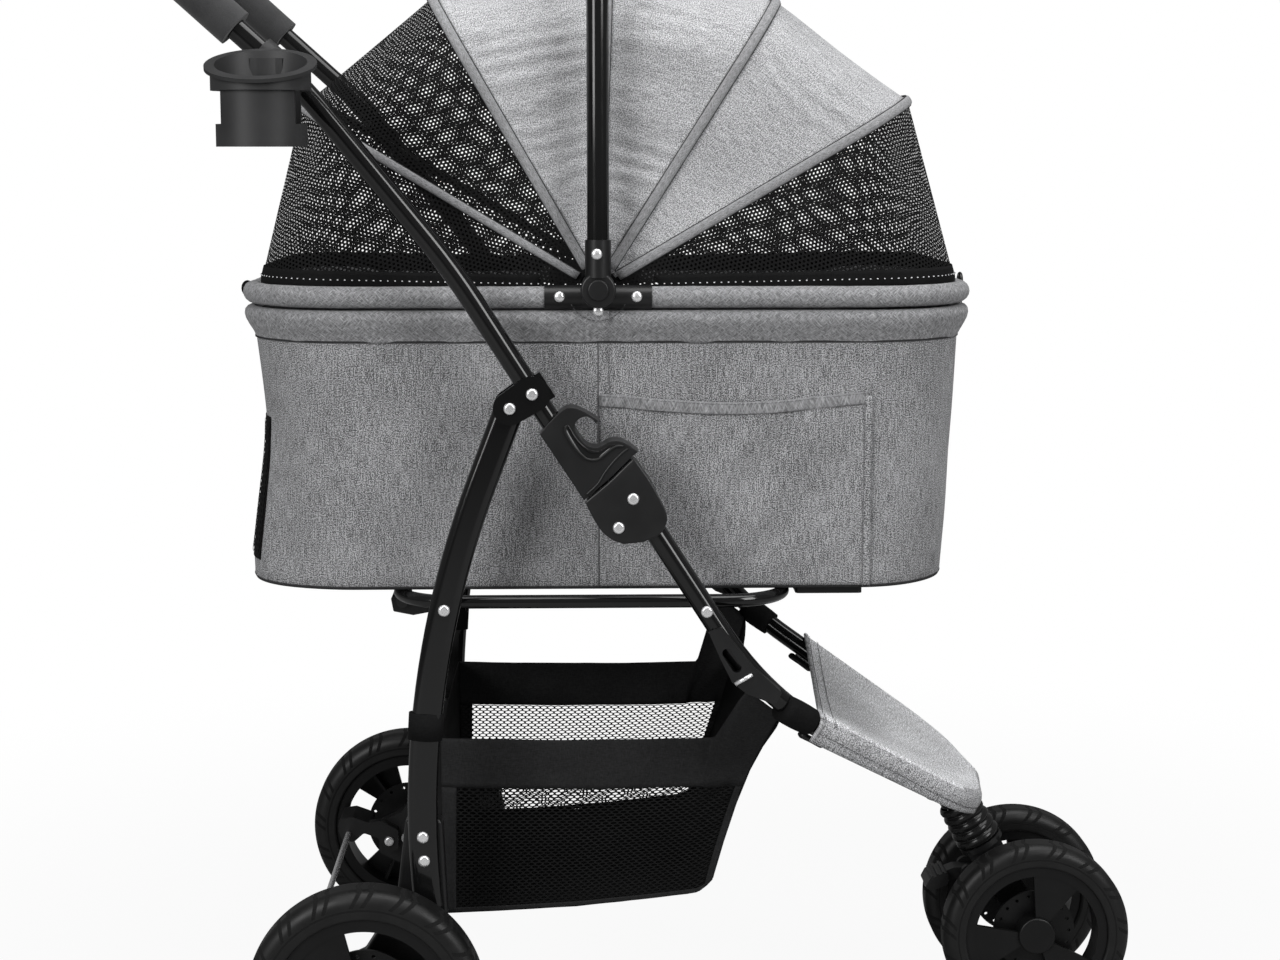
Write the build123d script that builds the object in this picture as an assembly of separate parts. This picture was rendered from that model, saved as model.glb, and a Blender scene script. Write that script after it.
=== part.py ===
"""Folding pet stroller with a lift-off carrier.

Frame: +X forward, +Z up, right side of the stroller at -Y, floor at z = 0, millimetres.
Right-hand pieces are drawn at -Y and mirrored about the XZ plane.
"""
import os
from math import atan2, cos, degrees, radians, sin, tan

from build123d import *

# Clearances
FIT = 0.05             # radial clearance of a pin or tube in its bore
GAP = 0.5              # clearance between pieces that pass each other

# Frame tubes
FRAME_HALF = 195.0     # centre plane of handle tubes and legs
TUBE_R = 8.0
TUBE_WALL = 1.4
PIN_R = 4.0
RIVET_R = 4.3
RIVET_RISE = 2.6

# Fold lock: pivot A joins the handle to the front leg
FOLD_X, FOLD_Z = -73.0, 434.0
HANDLE_SLOPE = 57.4    # degrees from the horizontal, handle tube above the fold pivot
LEG_OFFSET = 20.0      # front leg axis in front of the handle axis
LEG_TOP = 31.0         # front leg above the fold pivot, along the tube
LOOP_DROP = 87.0       # seat loop pivot below the fold pivot, along the tube
SHELL_HALF = 12.5      # half thickness of the fold lock shell
SHELL_WALL = 3.0
SHELL_SPINE = 2.5      # room between the handle tube and the spine of the shell
HANDLE_LOW = 11.0      # handle tube below the fold pivot, before its end is rounded
SLIDER_HALF = 11.0     # half thickness of the sliding lock
SLIDER_TOP = 90.0      # top of the sliding lock above the fold pivot, along the tube
SLIDER_FIT = 0.10
SLIDER_EDGE = 0.5

# Handle
KNEE_RISE = 217.0      # first bend above the fold pivot, along the tube
KNEE_R = 500.0
HANDLE_MID = 162.0     # run between the two bends
HANDLE_MID_SLOPE = 51.0
SHOULDER_R = 250.0
HANDLE_END = 186.0     # run from the second bend to the crossbar
HANDLE_END_SLOPE = 42.0
CROSSBAR_R = 60.0
GRIP_R = 14.0
GRIP_START = 84.0      # bare tube between second bend and foam, left side
GRIP_START_RIGHT = 64.0

# Rear leg: pivot B on the handle bracket, pivot C on the seat loop
BRACKET_RISE = 114.0
BRACKET_BACK = 19.0    # pivot B behind the handle axis
BRACKET_R = 13.0
BRACKET_WALL = 2.5
BRACKET_INNER = 9.3    # half gap between the bracket cheeks
LEG_WIDE, LEG_THICK, LEG_WALL = 22.0, 12.0, 1.5
LEG_KNEE_X, LEG_KNEE_Z = -224.6, 324.3
LEG_FOOT_X, LEG_FOOT_Z = -214.0, 150.0
LEG_BEND_R = 700.0
LEG_TIP_R = 7.2        # round top end, clear of the bracket sleeve
LOOP_REAR_X, LOOP_REAR_Z = -199.0, 373.0

# Front leg below the seat loop pivot
LEG_BEND_RUN = 79.0    # from the loop pivot to the bend, along the tube
FRONT_BEND_R = 200.0
TOE_X, TOE_HALF, TOE_R = 203.0, 102.0, 80.0
NOSE_X = 214.0         # front middle of the two legs
NOSE_GAP = 2.0         # each leg stops this far from the middle plane
GUSSET_CHEEK = 2.0     # cheek of the bend gusset outside the tube
LEG_FALL = 0.645       # drop per unit of forward run below the bend
COVER_START = 42.0     # rear edge of the footrest cover in front of the bend

# Wheels
REAR_R, REAR_WIDE, REAR_X = 87.5, 34.0, -258.0
REAR_HALF = FRAME_HALF + 29.0
FRONT_R, FRONT_WIDE, FRONT_X, FRONT_HALF = 75.0, 30.0, 266.0, 50.0
REAR_BLADE_ANGLE, FRONT_BLADE_ANGLE = 6.0, 72.0
AXLE_R = 5.0
RIM_INSET = 3.0        # rim narrower than its tyre on each side
AXLE_STOP = 3.0        # blind end of the hub bore
BLADES = 3
BLADE_SPAN = 44.0      # degrees
DISC_HOLES = 18
TYRE_SEAT = 0.76       # tyre inner radius over wheel radius
WINDOW_OUT = 0.66
DISC_OUT = 0.44
HUB_OUT = 0.20

# Caster
SWIVEL_X = 198.0
SWIVEL_R = 4.5
HOUSING_R = 14.0
HOUSING_LOW = 178.0
HOUSING_RISE = 6.0     # top of the housing above the leg axis at the nose
STRUT_X, STRUT_Z = 205.0, 177.0
STRUT_TUBE_R, STRUT_ROD_R = 7.5, 5.0
GAITER_FROM, GAITER_TO = 8.0, 46.0
GAITER_BORE = 12.4
GAITER_RIBS = 5
SPRING_R, SPRING_WIRE, SPRING_TURNS = 10.2, 1.6, 6
FORK_HALF = 14.0

# Seat loop and carrier base
LOOP_R = 5.0
LOOP_Z = 373.0
LOOP_FRONT_X, LOOP_BACK_X = 52.0, -236.0
LOOP_HALF, LOOP_CORNER = FRAME_HALF - 25.0, 45.0
BASE_Z = 378.4         # underside of the carrier

# Carrier
CARRIER_X = -79.0
TUB_LONG, TUB_HALF, TUB_CORNER = 267.0, 155.0, 80.0
TUB_DRAFT = 4.0        # how far the walls draw in at the bottom
TUB_WALL = 3.0
RIM_LOW, RIM_HIGH, RIM_OUT = 564.0, 586.5, 8.0
RING_Z, RING_R = 595.8, 7.0
RING_LONG, RING_HALF, RING_CORNER = TUB_LONG + 1.5, TUB_HALF + 2.0, TUB_CORNER + 4.0
BOARD_THICK = 5.0
RAIL_LONG, RAIL_WIDE = 50.0, 26.0

# Carry-handle hubs
HUB_X, HUB_Z = -87.0, 602.0
HUB_R = 12.8
HUB_BACK = TUB_HALF - 5.0
HUB_FACE = HUB_BACK + 16.0
HUB_OUTER = HUB_FACE + 14.0
HUB_ARM_R, HUB_ARM_LONG = 8.8, 39.0
ARCH_R, ARCH_RADIUS, ARCH_CORNER = 8.0, 310.0, 85.0
ARCH_HALF = HUB_FACE + 6.5
SOCKET_R = 9.4
SOCKET_FROM, SOCKET_TO = 9.0, 36.0
BUTTON_R, BUTTON_DEEP, BUTTON_PROUD = 7.6, 7.0, 1.6

# Canopy: bow angle from straight ahead and reach from the hub axis
BOWS = {"front": (30.4, 270.0), "second": (57.5, 248.0), "top": (88.0, 236.0),
        "fourth": (120.0, 244.0), "rear": (149.0, 256.0)}
RING_FRONT = (1.2, CARRIER_X + RING_LONG - HUB_X - 6.5)
RING_BACK = (178.8, HUB_X - CARRIER_X + RING_LONG - 8.5)
CANOPY_HALF = TUB_HALF - 6.0
CANOPY_CORNER, CANOPY_SKIN = 62.0, 1.5
CANOPY_EYE = 40.0      # open radius of the cloth round the hub
BOW_WIRE_R, BOW_INSET = 2.5, 6.0
BOW_BLADE = 60.0       # flat blade from the hub out to the wire
BOW_LEVEL, BOW_STEP = CANOPY_HALF - 3.5, 2.0

# Storage basket
BIN_TOP, BIN_REAR_X, BIN_FRONT_X = 260.0, -203.0, 36.0
BIN_LOW_REAR_Z, BIN_LOW_FRONT_X, BIN_LOW_FRONT_Z = 122.0, -2.0, 138.0
BIN_HALF, BIN_WALL = FRAME_HALF - 65.0, 2.0
BIN_SLEEVE_AT, BIN_SLEEVE_LONG = 0.455, 20.0   # hanging sleeve, as a share of the front leg

# Cup holder
CUP_X, CUP_Y = -313.0, -FRAME_HALF - 70.0
CUP_LOW, CUP_TALL = 704.0, 71.0
CUP_TOP = CUP_LOW + CUP_TALL
CUP_TRAY = CUP_LOW + 15.0
CUP_BAND = CUP_TOP - 34.0
CUP_BORE, CUP_WALL = 28.0, 2.5
CUP_FLARE = 3.0        # how far the band stands out beyond the tray
CUP_LIP = 4.0
CUP_MOUTH = 9.0         # degrees, flare of the mouth
CUP_TILT = 17.0        # slope of the rim towards the outside
CUP_NECK = 24.5        # half width of the wall between the side windows

nodes = {}


def bent_path(points, radii):
    """Straight runs joined by tangent arcs, one radius per inner point."""
    points = [Vector(*p) for p in points]
    edges = []
    start = points[0]
    for i, radius in enumerate(radii, 1):
        corner = points[i]
        back = (points[i - 1] - corner).normalized()
        ahead = (points[i + 1] - corner).normalized()
        half = radians(back.get_angle(ahead)) / 2
        reach = radius / tan(half)
        middle = corner + (back + ahead).normalized() * (radius / sin(half) - radius)
        arc_start = corner + back * reach
        arc_end = corner + ahead * reach
        edges.append(Line(start, arc_start).edge())
        edges.append(ThreePointArc(arc_start, middle, arc_end).edge())
        start = arc_end
    edges.append(Line(start, points[-1]).edge())
    return Wire(edges)


def tube(path, outer, bore=0.0):
    plane = Plane(origin=path @ 0, z_dir=path % 0)
    section = Circle(outer)
    if bore:
        section -= Circle(bore)
    return sweep(plane * section, path=path)


def rod(start, end, radius):
    start, end = Vector(*start), Vector(*end)
    run = end - start
    return extrude(Plane(origin=start, z_dir=run) * Circle(radius), amount=run.length)


def cross_rod(x, z, inner, outer, radius):
    """Right-hand rod along Y between two distances from the middle plane."""
    return rod((x, -inner, z), (x, -outer, z), radius)


def side_plate(face, inner, outer):
    """Extrude an XZ face on the right side between two distances from the middle plane."""
    return extrude(Plane.XZ.offset(inner) * face, amount=outer - inner)


def rounded(points, radius):
    face = make_face(Polyline(*points, close=True))
    return fillet(face.vertices(), radius)


def mirrored(right):
    return mirror(right, about=Plane.XZ)


def pair(right):
    return Part() + [right, mirrored(right)]


def rivet_head(x, z, face, out=1):
    """Domed head on a face at a distance from the middle plane, right side."""
    head = cross_rod(x, z, face, face + out * RIVET_RISE, RIVET_R)
    rim = head.edges().filter_by(GeomType.CIRCLE).sort_by(Axis.Y)
    return fillet(rim[0] if out > 0 else rim[-1], RIVET_RISE * 0.75)


def rounded_plan(long, half, corner):
    return Pos(CARRIER_X, 0) * RectangleRounded(2 * long, 2 * half, corner)


# Points of the folding linkage, all worked out along the handle tube
UP = (-cos(radians(HANDLE_SLOPE)), sin(radians(HANDLE_SLOPE)))
AHEAD = (UP[1], -UP[0])


def lock_point(rise, ahead=0.0):
    """XZ point a distance up the handle tube from the fold pivot and ahead of its axis."""
    return (FOLD_X + rise * UP[0] + ahead * AHEAD[0], FOLD_Z + rise * UP[1] + ahead * AHEAD[1])


def lock_plate(face, inner, outer):
    """Extrude a face drawn along the handle tube, right side."""
    plane = Plane(origin=(FOLD_X, -outer, FOLD_Z), x_dir=(UP[0], 0, UP[1]), z_dir=(0, 1, 0))
    return extrude(plane * face, amount=outer - inner)


BRACKET_X, BRACKET_Z = lock_point(BRACKET_RISE, -BRACKET_BACK)
LOOP_FRONT_PIVOT = lock_point(-LOOP_DROP, LEG_OFFSET)
KNEE = lock_point(KNEE_RISE)
SHOULDER = (KNEE[0] - HANDLE_MID * cos(radians(HANDLE_MID_SLOPE)),
            KNEE[1] + HANDLE_MID * sin(radians(HANDLE_MID_SLOPE)))
CROSSBAR = (SHOULDER[0] - HANDLE_END * cos(radians(HANDLE_END_SLOPE)),
            SHOULDER[1] + HANDLE_END * sin(radians(HANDLE_END_SLOPE)))
FRONT_BEND = lock_point(-LOOP_DROP - LEG_BEND_RUN, LEG_OFFSET)
SHELL_RIVET = lock_point(12.0, LEG_OFFSET)


def leg_plane_z(x):
    """Height of the front leg axes in front of their bend."""
    return FRONT_BEND[1] - LEG_FALL * (x - FRONT_BEND[0])


# Front frame
def front_leg_path():
    top = lock_point(LEG_TOP, LEG_OFFSET)
    points = [(top[0], -FRAME_HALF, top[1]),
              (FRONT_BEND[0], -FRAME_HALF, FRONT_BEND[1]),
              (TOE_X, -TOE_HALF, leg_plane_z(TOE_X)),
              (NOSE_X, -NOSE_GAP, leg_plane_z(NOSE_X))]
    return bent_path(points, [FRONT_BEND_R, TOE_R])


def front_leg():
    leg = tube(front_leg_path(), TUBE_R, TUBE_R - TUBE_WALL)
    x, z = LOOP_FRONT_PIVOT
    leg -= cross_rod(x, z, FRAME_HALF - 2 * TUBE_R, FRAME_HALF + 2 * TUBE_R, PIN_R + FIT)
    x, z = SHELL_RIVET
    return leg - cross_rod(x, z, FRAME_HALF - 2 * TUBE_R, FRAME_HALF + 2 * TUBE_R, PIN_R)


def leg_gusset():
    """Crescent plate that fills the inside of the bend, with its arched window."""
    shape = [(13, -7), (35, -10.5), (54, -12.5), (67, -8), (85, 5), (80, 14), (53, 7), (31, 5), (15, 3)]
    outline = [lock_point(-LOOP_DROP - down, LEG_OFFSET + ahead) for down, ahead in shape]
    near, far = FRAME_HALF - TUBE_R - GUSSET_CHEEK, FRAME_HALF + TUBE_R + GUSSET_CHEEK
    plate = side_plate(rounded(outline, 2.0), near, far)
    plate -= tube(front_leg_path(), TUBE_R + FIT)
    return plate - lock_plate(Pos(-LOOP_DROP - 40, LEG_OFFSET - 4) * SlotOverall(20, 7), FRAME_HALF, far + 1)


def shell_outline():
    points = [(29, -10), (32, 13), (37, 36), (15, 37), (-10, 34), (-19, 25), (-19, 10), (-12, -4), (2, -11.5)]
    return rounded(points, 4.0)


def fold_shell():
    """Two cheeks on the front leg, open behind so that the handle can swing out between them."""
    cheek_out = lock_plate(shell_outline(), FRAME_HALF + SHELL_HALF - SHELL_WALL, FRAME_HALF + SHELL_HALF)
    cheek_in = lock_plate(shell_outline(), FRAME_HALF - SHELL_HALF, FRAME_HALF - SHELL_HALF + SHELL_WALL)
    cheek_out = fillet(cheek_out.faces().sort_by(Axis.Y)[0].outer_wire().edges(), 2.0)
    spine_face = shell_outline() & (Pos(0, TUBE_R + SHELL_SPINE + 40) * Rectangle(200, 80))
    spine = lock_plate(spine_face, FRAME_HALF - SHELL_HALF + SHELL_WALL, FRAME_HALF + SHELL_HALF - SHELL_WALL)
    shell = cheek_out + spine + cheek_in
    shell -= tube(front_leg_path(), TUBE_R + FIT)
    for x, z in (SHELL_RIVET, (FOLD_X, FOLD_Z)):
        shell -= cross_rod(x, z, FRAME_HALF - 30, FRAME_HALF + 30, PIN_R)
    return shell


def frame_rivet_set():
    """Fold pivot pin and shell rivet, each a shank with two heads."""
    shell_face = FRAME_HALF + SHELL_HALF
    pieces = []
    for x, z in ((FOLD_X, FOLD_Z), SHELL_RIVET):
        pin = cross_rod(x, z, FRAME_HALF - SHELL_HALF, shell_face, PIN_R)
        pin += rivet_head(x, z, shell_face)
        pin += rivet_head(x, z, FRAME_HALF - SHELL_HALF, -1)
        pieces.append(pin)
    return pieces


def front_housing():
    """Clamp at the nose of the legs with the upright bore of the caster stem."""
    nose_z = leg_plane_z(NOSE_X)
    top = nose_z + HOUSING_RISE
    body = rod((SWIVEL_X, 0, HOUSING_LOW), (SWIVEL_X, 0, top), HOUSING_R)
    saddle_long = NOSE_X + 2.5 - SWIVEL_X
    saddle_high = nose_z - HOUSING_LOW
    body += Pos(SWIVEL_X + saddle_long / 2, 0, HOUSING_LOW + saddle_high / 2) * Box(saddle_long, 56, saddle_high)
    leg = tube(front_leg_path(), TUBE_R + FIT)
    body -= leg + mirrored(leg)
    return body - rod((SWIVEL_X, 0, HOUSING_LOW - 1), (SWIVEL_X, 0, top - 3), SWIVEL_R + FIT)


def footrest_cover():
    """Cloth hood over both legs, open below and behind, drawn on the slope of the legs."""
    slope = degrees(atan2(LEG_FALL, 1))
    start_x = FRONT_BEND[0] + COVER_START
    leg_half = FRAME_HALF + (TOE_HALF - FRAME_HALF) * COVER_START / (TOE_X - FRONT_BEND[0])
    plane = Plane(origin=(start_x, 0, leg_plane_z(start_x)), x_dir=(cos(radians(slope)), 0, -sin(radians(slope))),
                  z_dir=(sin(radians(slope)), 0, cos(radians(slope))))
    run = (NOSE_X - start_x) / cos(radians(slope))

    def plan(extra, back):
        rear_half = leg_half + 4 + extra
        toe_half = TOE_HALF + 8 + extra
        outline = [(-back, -rear_half), (run - 18, -toe_half), (run + extra, -48), (run + extra, 48),
                   (run - 18, toe_half), (-back, rear_half)]
        face = make_face(Polyline(*outline, close=True))
        corners = face.vertices().sort_by(Axis.X)[2:]
        return fillet(corners, 24.0)

    low = -12.0
    high = TUBE_R + 3.0
    hood = extrude(plane.offset(low) * plan(TUBE_R + 3.0, 0), amount=high - low)
    inside = extrude(plane.offset(low - 1) * plan(TUBE_R + 0.8, 5), amount=high - low - 1.0)
    swing = rod((SWIVEL_X, 0, HOUSING_LOW - 80), (SWIVEL_X, 0, HOUSING_LOW + 3), 34.0)
    return hood - inside - swing


def storage_basket():
    """Open-topped cloth bin with two sleeves that hang it on the front legs."""
    side = [(BIN_REAR_X, BIN_TOP), (BIN_REAR_X, BIN_LOW_REAR_Z), (BIN_LOW_FRONT_X, BIN_LOW_FRONT_Z),
            (BIN_FRONT_X, BIN_TOP)]
    inner = [(BIN_REAR_X + BIN_WALL, BIN_TOP + 50), (BIN_REAR_X + BIN_WALL, BIN_LOW_REAR_Z + BIN_WALL),
             (BIN_LOW_FRONT_X - BIN_WALL, BIN_LOW_FRONT_Z + BIN_WALL), (BIN_FRONT_X - BIN_WALL, BIN_TOP),
             (BIN_FRONT_X - BIN_WALL, BIN_TOP + 50)]
    outside = extrude(Plane.XZ * make_face(Polyline(*side, close=True)), amount=BIN_HALF, both=True)
    hollow = extrude(Plane.XZ * make_face(Polyline(*inner, close=True)), amount=BIN_HALF - BIN_WALL, both=True)
    basket = outside - hollow
    path = front_leg_path()
    here = path @ BIN_SLEEVE_AT
    run = path % BIN_SLEEVE_AT
    reach = BIN_SLEEVE_LONG / 2
    sleeve = rod(here - run * reach, here + run * reach, TUBE_R + 2.0)
    web_face = Polyline((BIN_FRONT_X - 20, BIN_TOP - 30), (BIN_FRONT_X - 11, BIN_TOP - 30), (here.X - 2, here.Z),
                        (here.X - 14, here.Z + 6), close=True)
    web = side_plate(make_face(web_face), BIN_HALF - BIN_WALL, FRAME_HALF - 14)
    strap = web + sleeve - tube(path, TUBE_R + 0.4)
    return basket + strap + mirrored(strap)


# Seat loop
def loop_path():
    long = (LOOP_FRONT_X - LOOP_BACK_X) / 2
    centre = (LOOP_FRONT_X + LOOP_BACK_X) / 2
    plan = Plane.XY.offset(LOOP_Z) * Pos(centre, 0) * RectangleRounded(2 * long, 2 * LOOP_HALF, LOOP_CORNER)
    return plan.face().outer_wire()


def loop_pivots():
    return (LOOP_FRONT_PIVOT, FRAME_HALF - TUBE_R - GAP), ((LOOP_REAR_X, LOOP_REAR_Z), FRAME_HALF - LEG_THICK / 2 - GAP)


def seat_loop():
    """Closed tube with a stub boss at each pivot."""
    loop = tube(loop_path(), LOOP_R)
    for (x, z), face in loop_pivots():
        boss = cross_rod(x, z, LOOP_HALF - 1, face, 7.0) - cross_rod(x, z, face - 10, face + 1, PIN_R)
        loop += boss + mirrored(boss)
    return loop + latch_lugs()


def loop_pins():
    """Pins that run from the loop bosses through the legs to their outer heads."""
    pins = []
    for (x, z), face in loop_pivots():
        outer = FRAME_HALF + (TUBE_R if face < FRAME_HALF - LEG_THICK / 2 - 2 else LEG_THICK / 2) + GAP
        pins.append(cross_rod(x, z, face - 10, outer, PIN_R) + rivet_head(x, z, outer))
    return pins


LATCH_Y, LATCH_WIDE = 76.0, 34.0
LATCH_DROP = 11.0      # latch pin below the rear bar of the loop
LATCH_PIN_R = 2.5


def carrier_latch():
    """Curved paddle that hangs on its pin below the rear bar of the seat loop."""
    x, z = LOOP_BACK_X, LOOP_Z - LATCH_DROP
    paddle = rounded([(-9, 3), (-7, -8), (8, -11), (24, -8), (23, -3), (4, -3), (4, 3)], 1.4)
    face = Pos(x, z) * (Circle(LATCH_PIN_R + 2.6) + paddle)
    body = side_plate(face, LATCH_Y, LATCH_Y + LATCH_WIDE)
    return body - cross_rod(x, z, LATCH_Y - 1, LATCH_Y + LATCH_WIDE + 1, LATCH_PIN_R + FIT)


def latch_lugs():
    """Two ears under the rear bar of the loop and the pin between them."""
    x, z = LOOP_BACK_X, LOOP_Z - LATCH_DROP
    ear = make_hull((Pos(x, z) * Circle(4.5) + Pos(x, LOOP_Z) * Circle(LOOP_R - 0.5)).edges())
    lugs = side_plate(ear, LATCH_Y - 4, LATCH_Y - GAP)
    lugs += side_plate(ear, LATCH_Y + LATCH_WIDE + GAP, LATCH_Y + LATCH_WIDE + 4)
    return lugs + cross_rod(x, z, LATCH_Y - 4, LATCH_Y + LATCH_WIDE + 4, LATCH_PIN_R)


# Handle
def handle_points():
    low = lock_point(-HANDLE_LOW)
    right = [low, KNEE, SHOULDER, CROSSBAR]
    points = [(x, -FRAME_HALF, z) for x, z in right]
    return points + [(x, FRAME_HALF, z) for x, z in reversed(right)]


def handle_path():
    radii = [KNEE_R, SHOULDER_R, CROSSBAR_R]
    return bent_path(handle_points(), radii + radii[::-1])


def handle_tube():
    """Bent tube with its low ends rounded about the fold pivot, so that they turn inside the shells."""
    body = tube(handle_path(), TUBE_R, TUBE_R - TUBE_WALL)
    near, far = FRAME_HALF - 2 * TUBE_R, FRAME_HALF + 2 * TUBE_R
    corner = lock_plate(Pos(-HANDLE_LOW, 0) * Rectangle(2 * HANDLE_LOW, 4 * TUBE_R), near, far)
    corner -= cross_rod(FOLD_X, FOLD_Z, near, far, TUBE_R + SHELL_SPINE - GAP)
    body = body - corner - mirrored(corner)
    hole = cross_rod(FOLD_X, FOLD_Z, FRAME_HALF - 2 * TUBE_R, FRAME_HALF + 2 * TUBE_R, PIN_R + FIT)
    hole += cross_rod(*lock_point(BRACKET_RISE), FRAME_HALF - 2 * TUBE_R, FRAME_HALF + 2 * TUBE_R, PIN_R)
    return body - hole - mirrored(hole)


def handle_along(run):
    """XZ point on the straight end of the handle, a run beyond its second bend."""
    slope = radians(HANDLE_END_SLOPE)
    return SHOULDER[0] - run * cos(slope), SHOULDER[1] + run * sin(slope)


def handle_grip():
    """Foam round the crossbar and down both ends, pulled further down on the right."""
    right, left = handle_along(GRIP_START_RIGHT), handle_along(GRIP_START)
    points = [(right[0], -FRAME_HALF, right[1]), (CROSSBAR[0], -FRAME_HALF, CROSSBAR[1]),
              (CROSSBAR[0], FRAME_HALF, CROSSBAR[1]), (left[0], FRAME_HALF, left[1])]
    return tube(bent_path(points, [CROSSBAR_R, CROSSBAR_R]), GRIP_R, TUBE_R + FIT)


def leg_bracket():
    """Sleeve on the handle tube with two cheeks that reach back to the rear leg."""
    rivet = lock_point(BRACKET_RISE)
    ring = Circle(BRACKET_R) + Pos(0, -BRACKET_BACK) * Circle(BRACKET_R - 1)
    cheek = Pos(BRACKET_RISE, 0) * make_hull(ring.edges())
    outer = FRAME_HALF + BRACKET_INNER
    plates = lock_plate(cheek, outer, outer + BRACKET_WALL)
    plates += lock_plate(cheek, FRAME_HALF - BRACKET_INNER - BRACKET_WALL, FRAME_HALF - BRACKET_INNER)
    low, high = lock_point(BRACKET_RISE - 10.5), lock_point(BRACKET_RISE + 10.5)
    sleeve = rod((low[0], -FRAME_HALF, low[1]), (high[0], -FRAME_HALF, high[1]), TUBE_R + 2.2)
    front = lock_plate(Pos(BRACKET_RISE, BRACKET_R - 2) * Rectangle(21, 4), FRAME_HALF - BRACKET_INNER,
                       FRAME_HALF + BRACKET_INNER)
    body = plates + sleeve + front
    body -= tube(handle_path(), TUBE_R + FIT)
    return body - cross_rod(*rivet, FRAME_HALF - 30, FRAME_HALF + 30, PIN_R)


def handle_rivet_set():
    """Bracket rivet through the tube, and the two ends of the rear leg rivet on the cheeks."""
    outer = FRAME_HALF + BRACKET_INNER + BRACKET_WALL
    inner = FRAME_HALF - BRACKET_INNER - BRACKET_WALL
    x, z = lock_point(BRACKET_RISE)
    through = cross_rod(x, z, inner, FRAME_HALF - TUBE_R + TUBE_WALL, PIN_R)
    heads = [cross_rod(x, z, FRAME_HALF + TUBE_R - TUBE_WALL, outer, PIN_R) + rivet_head(x, z, outer),
             through + rivet_head(x, z, inner, -1)]
    heads.append(rivet_head(BRACKET_X, BRACKET_Z, outer))
    heads.append(rivet_head(BRACKET_X, BRACKET_Z, inner, -1))
    return heads


def fold_slider():
    """Sleeve with a finger hook that slides on the handle tube above the shell."""
    outline = Polyline((30, -10.3), (SLIDER_TOP - 3, -11), (SLIDER_TOP, -2)).edges()
    outline += Spline((SLIDER_TOP, -2), (SLIDER_TOP + 2.5, 9), (SLIDER_TOP + 2, 16.5), (86.5, 22.5), (73, 29.5)).edges()
    outline += Polyline((73, 29.5), (71.5, 26.5)).edges()
    outline += Spline((71.5, 26.5), (81, 19.5), (79.5, 14), (71, 12), (61, 14), (56.5, 19.5), (56, 27),
                      (52.5, 34), (45.5, 38.5), (38.5, 41.5)).edges()
    outline += Polyline((38.5, 41.5), (38, 36.5), (33, 12.8), (30, -10.3)).edges()
    face = make_face(outline)
    body = lock_plate(face, -SLIDER_HALF, SLIDER_HALF)
    rim = body.faces().sort_by(Axis.Y)[0].outer_wire().edges()
    body = Pos(0, -FRAME_HALF, 0) * fillet(rim, SLIDER_EDGE)
    bore_low, bore_high = lock_point(0.0), lock_point(SLIDER_TOP + 20)
    bore = rod((bore_low[0], -FRAME_HALF, bore_low[1]), (bore_high[0], -FRAME_HALF, bore_high[1]),
               TUBE_R + SLIDER_FIT)
    leg_room = lock_point(LEG_TOP + GAP, LEG_OFFSET)
    below = lock_point(0.0, LEG_OFFSET)
    body -= rod((below[0], -FRAME_HALF, below[1]), (leg_room[0], -FRAME_HALF, leg_room[1]), TUBE_R + GAP)
    return body - bore


def cup_holder():
    """Cup with an oblique flared rim, side windows and a clamp round the handle tube."""
    tray_r = CUP_BORE + CUP_WALL
    band_r = tray_r + CUP_FLARE
    tray = rod((CUP_X, CUP_Y, CUP_LOW), (CUP_X, CUP_Y, CUP_TRAY), tray_r)
    neck = rod((CUP_X, CUP_Y, CUP_TRAY), (CUP_X, CUP_Y, CUP_BAND), tray_r)
    neck &= Pos(CUP_X, CUP_Y, (CUP_TRAY + CUP_BAND) / 2) * Box(2 * CUP_NECK, 4 * tray_r, CUP_BAND - CUP_TRAY)
    band = rod((CUP_X, CUP_Y, CUP_BAND), (CUP_X, CUP_Y, CUP_TOP + 10), band_r)
    rim_z = (CUP_BAND + CUP_TOP) / 2 + 1
    rim_plane = Plane(origin=(CUP_X, CUP_Y, rim_z), x_dir=(1, 0, 0),
                      z_dir=(0, -sin(radians(CUP_TILT)), cos(radians(CUP_TILT))))
    band -= extrude(rim_plane * Rectangle(200, 200), amount=80)
    stretch = (band_r + CUP_LIP) / cos(radians(CUP_TILT))
    lip = extrude(rim_plane.offset(-CUP_WALL) * Ellipse(band_r + CUP_LIP, stretch), amount=CUP_WALL)
    body = tray + neck + band + lip
    body -= rod((CUP_X, CUP_Y, CUP_LOW + CUP_WALL), (CUP_X, CUP_Y, CUP_BAND), CUP_BORE)
    body -= extrude(Plane(origin=(CUP_X, CUP_Y, CUP_BAND)) * Circle(CUP_BORE), amount=60, taper=-CUP_MOUTH)
    run = (SHOULDER[0] - CUP_X) / cos(radians(HANDLE_END_SLOPE))
    low, high = handle_along(run - 13), handle_along(run + 13)
    tube_z = handle_along(run)[1]
    collar = rod((low[0], -FRAME_HALF, low[1]), (high[0], -FRAME_HALF, high[1]), TUBE_R + 3)
    wall_y = -CUP_Y - tray_r
    arm = Pos(CUP_X, -(wall_y + 2.2 + FRAME_HALF) / 2, tube_z - 8) * Box(22, wall_y + 2.2 - FRAME_HALF, 20)
    arm -= rod((CUP_X, CUP_Y, CUP_LOW), (CUP_X, CUP_Y, CUP_TOP + 30), CUP_BORE + 1)
    clamp = collar + arm - tube(handle_path(), TUBE_R + FIT)
    return body + clamp


# Rear legs
def rear_leg_path():
    points = [(BRACKET_X, -FRAME_HALF, BRACKET_Z), (LEG_KNEE_X, -FRAME_HALF, LEG_KNEE_Z),
              (LEG_FOOT_X, -FRAME_HALF, LEG_FOOT_Z)]
    return bent_path(points, [LEG_BEND_R])


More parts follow.
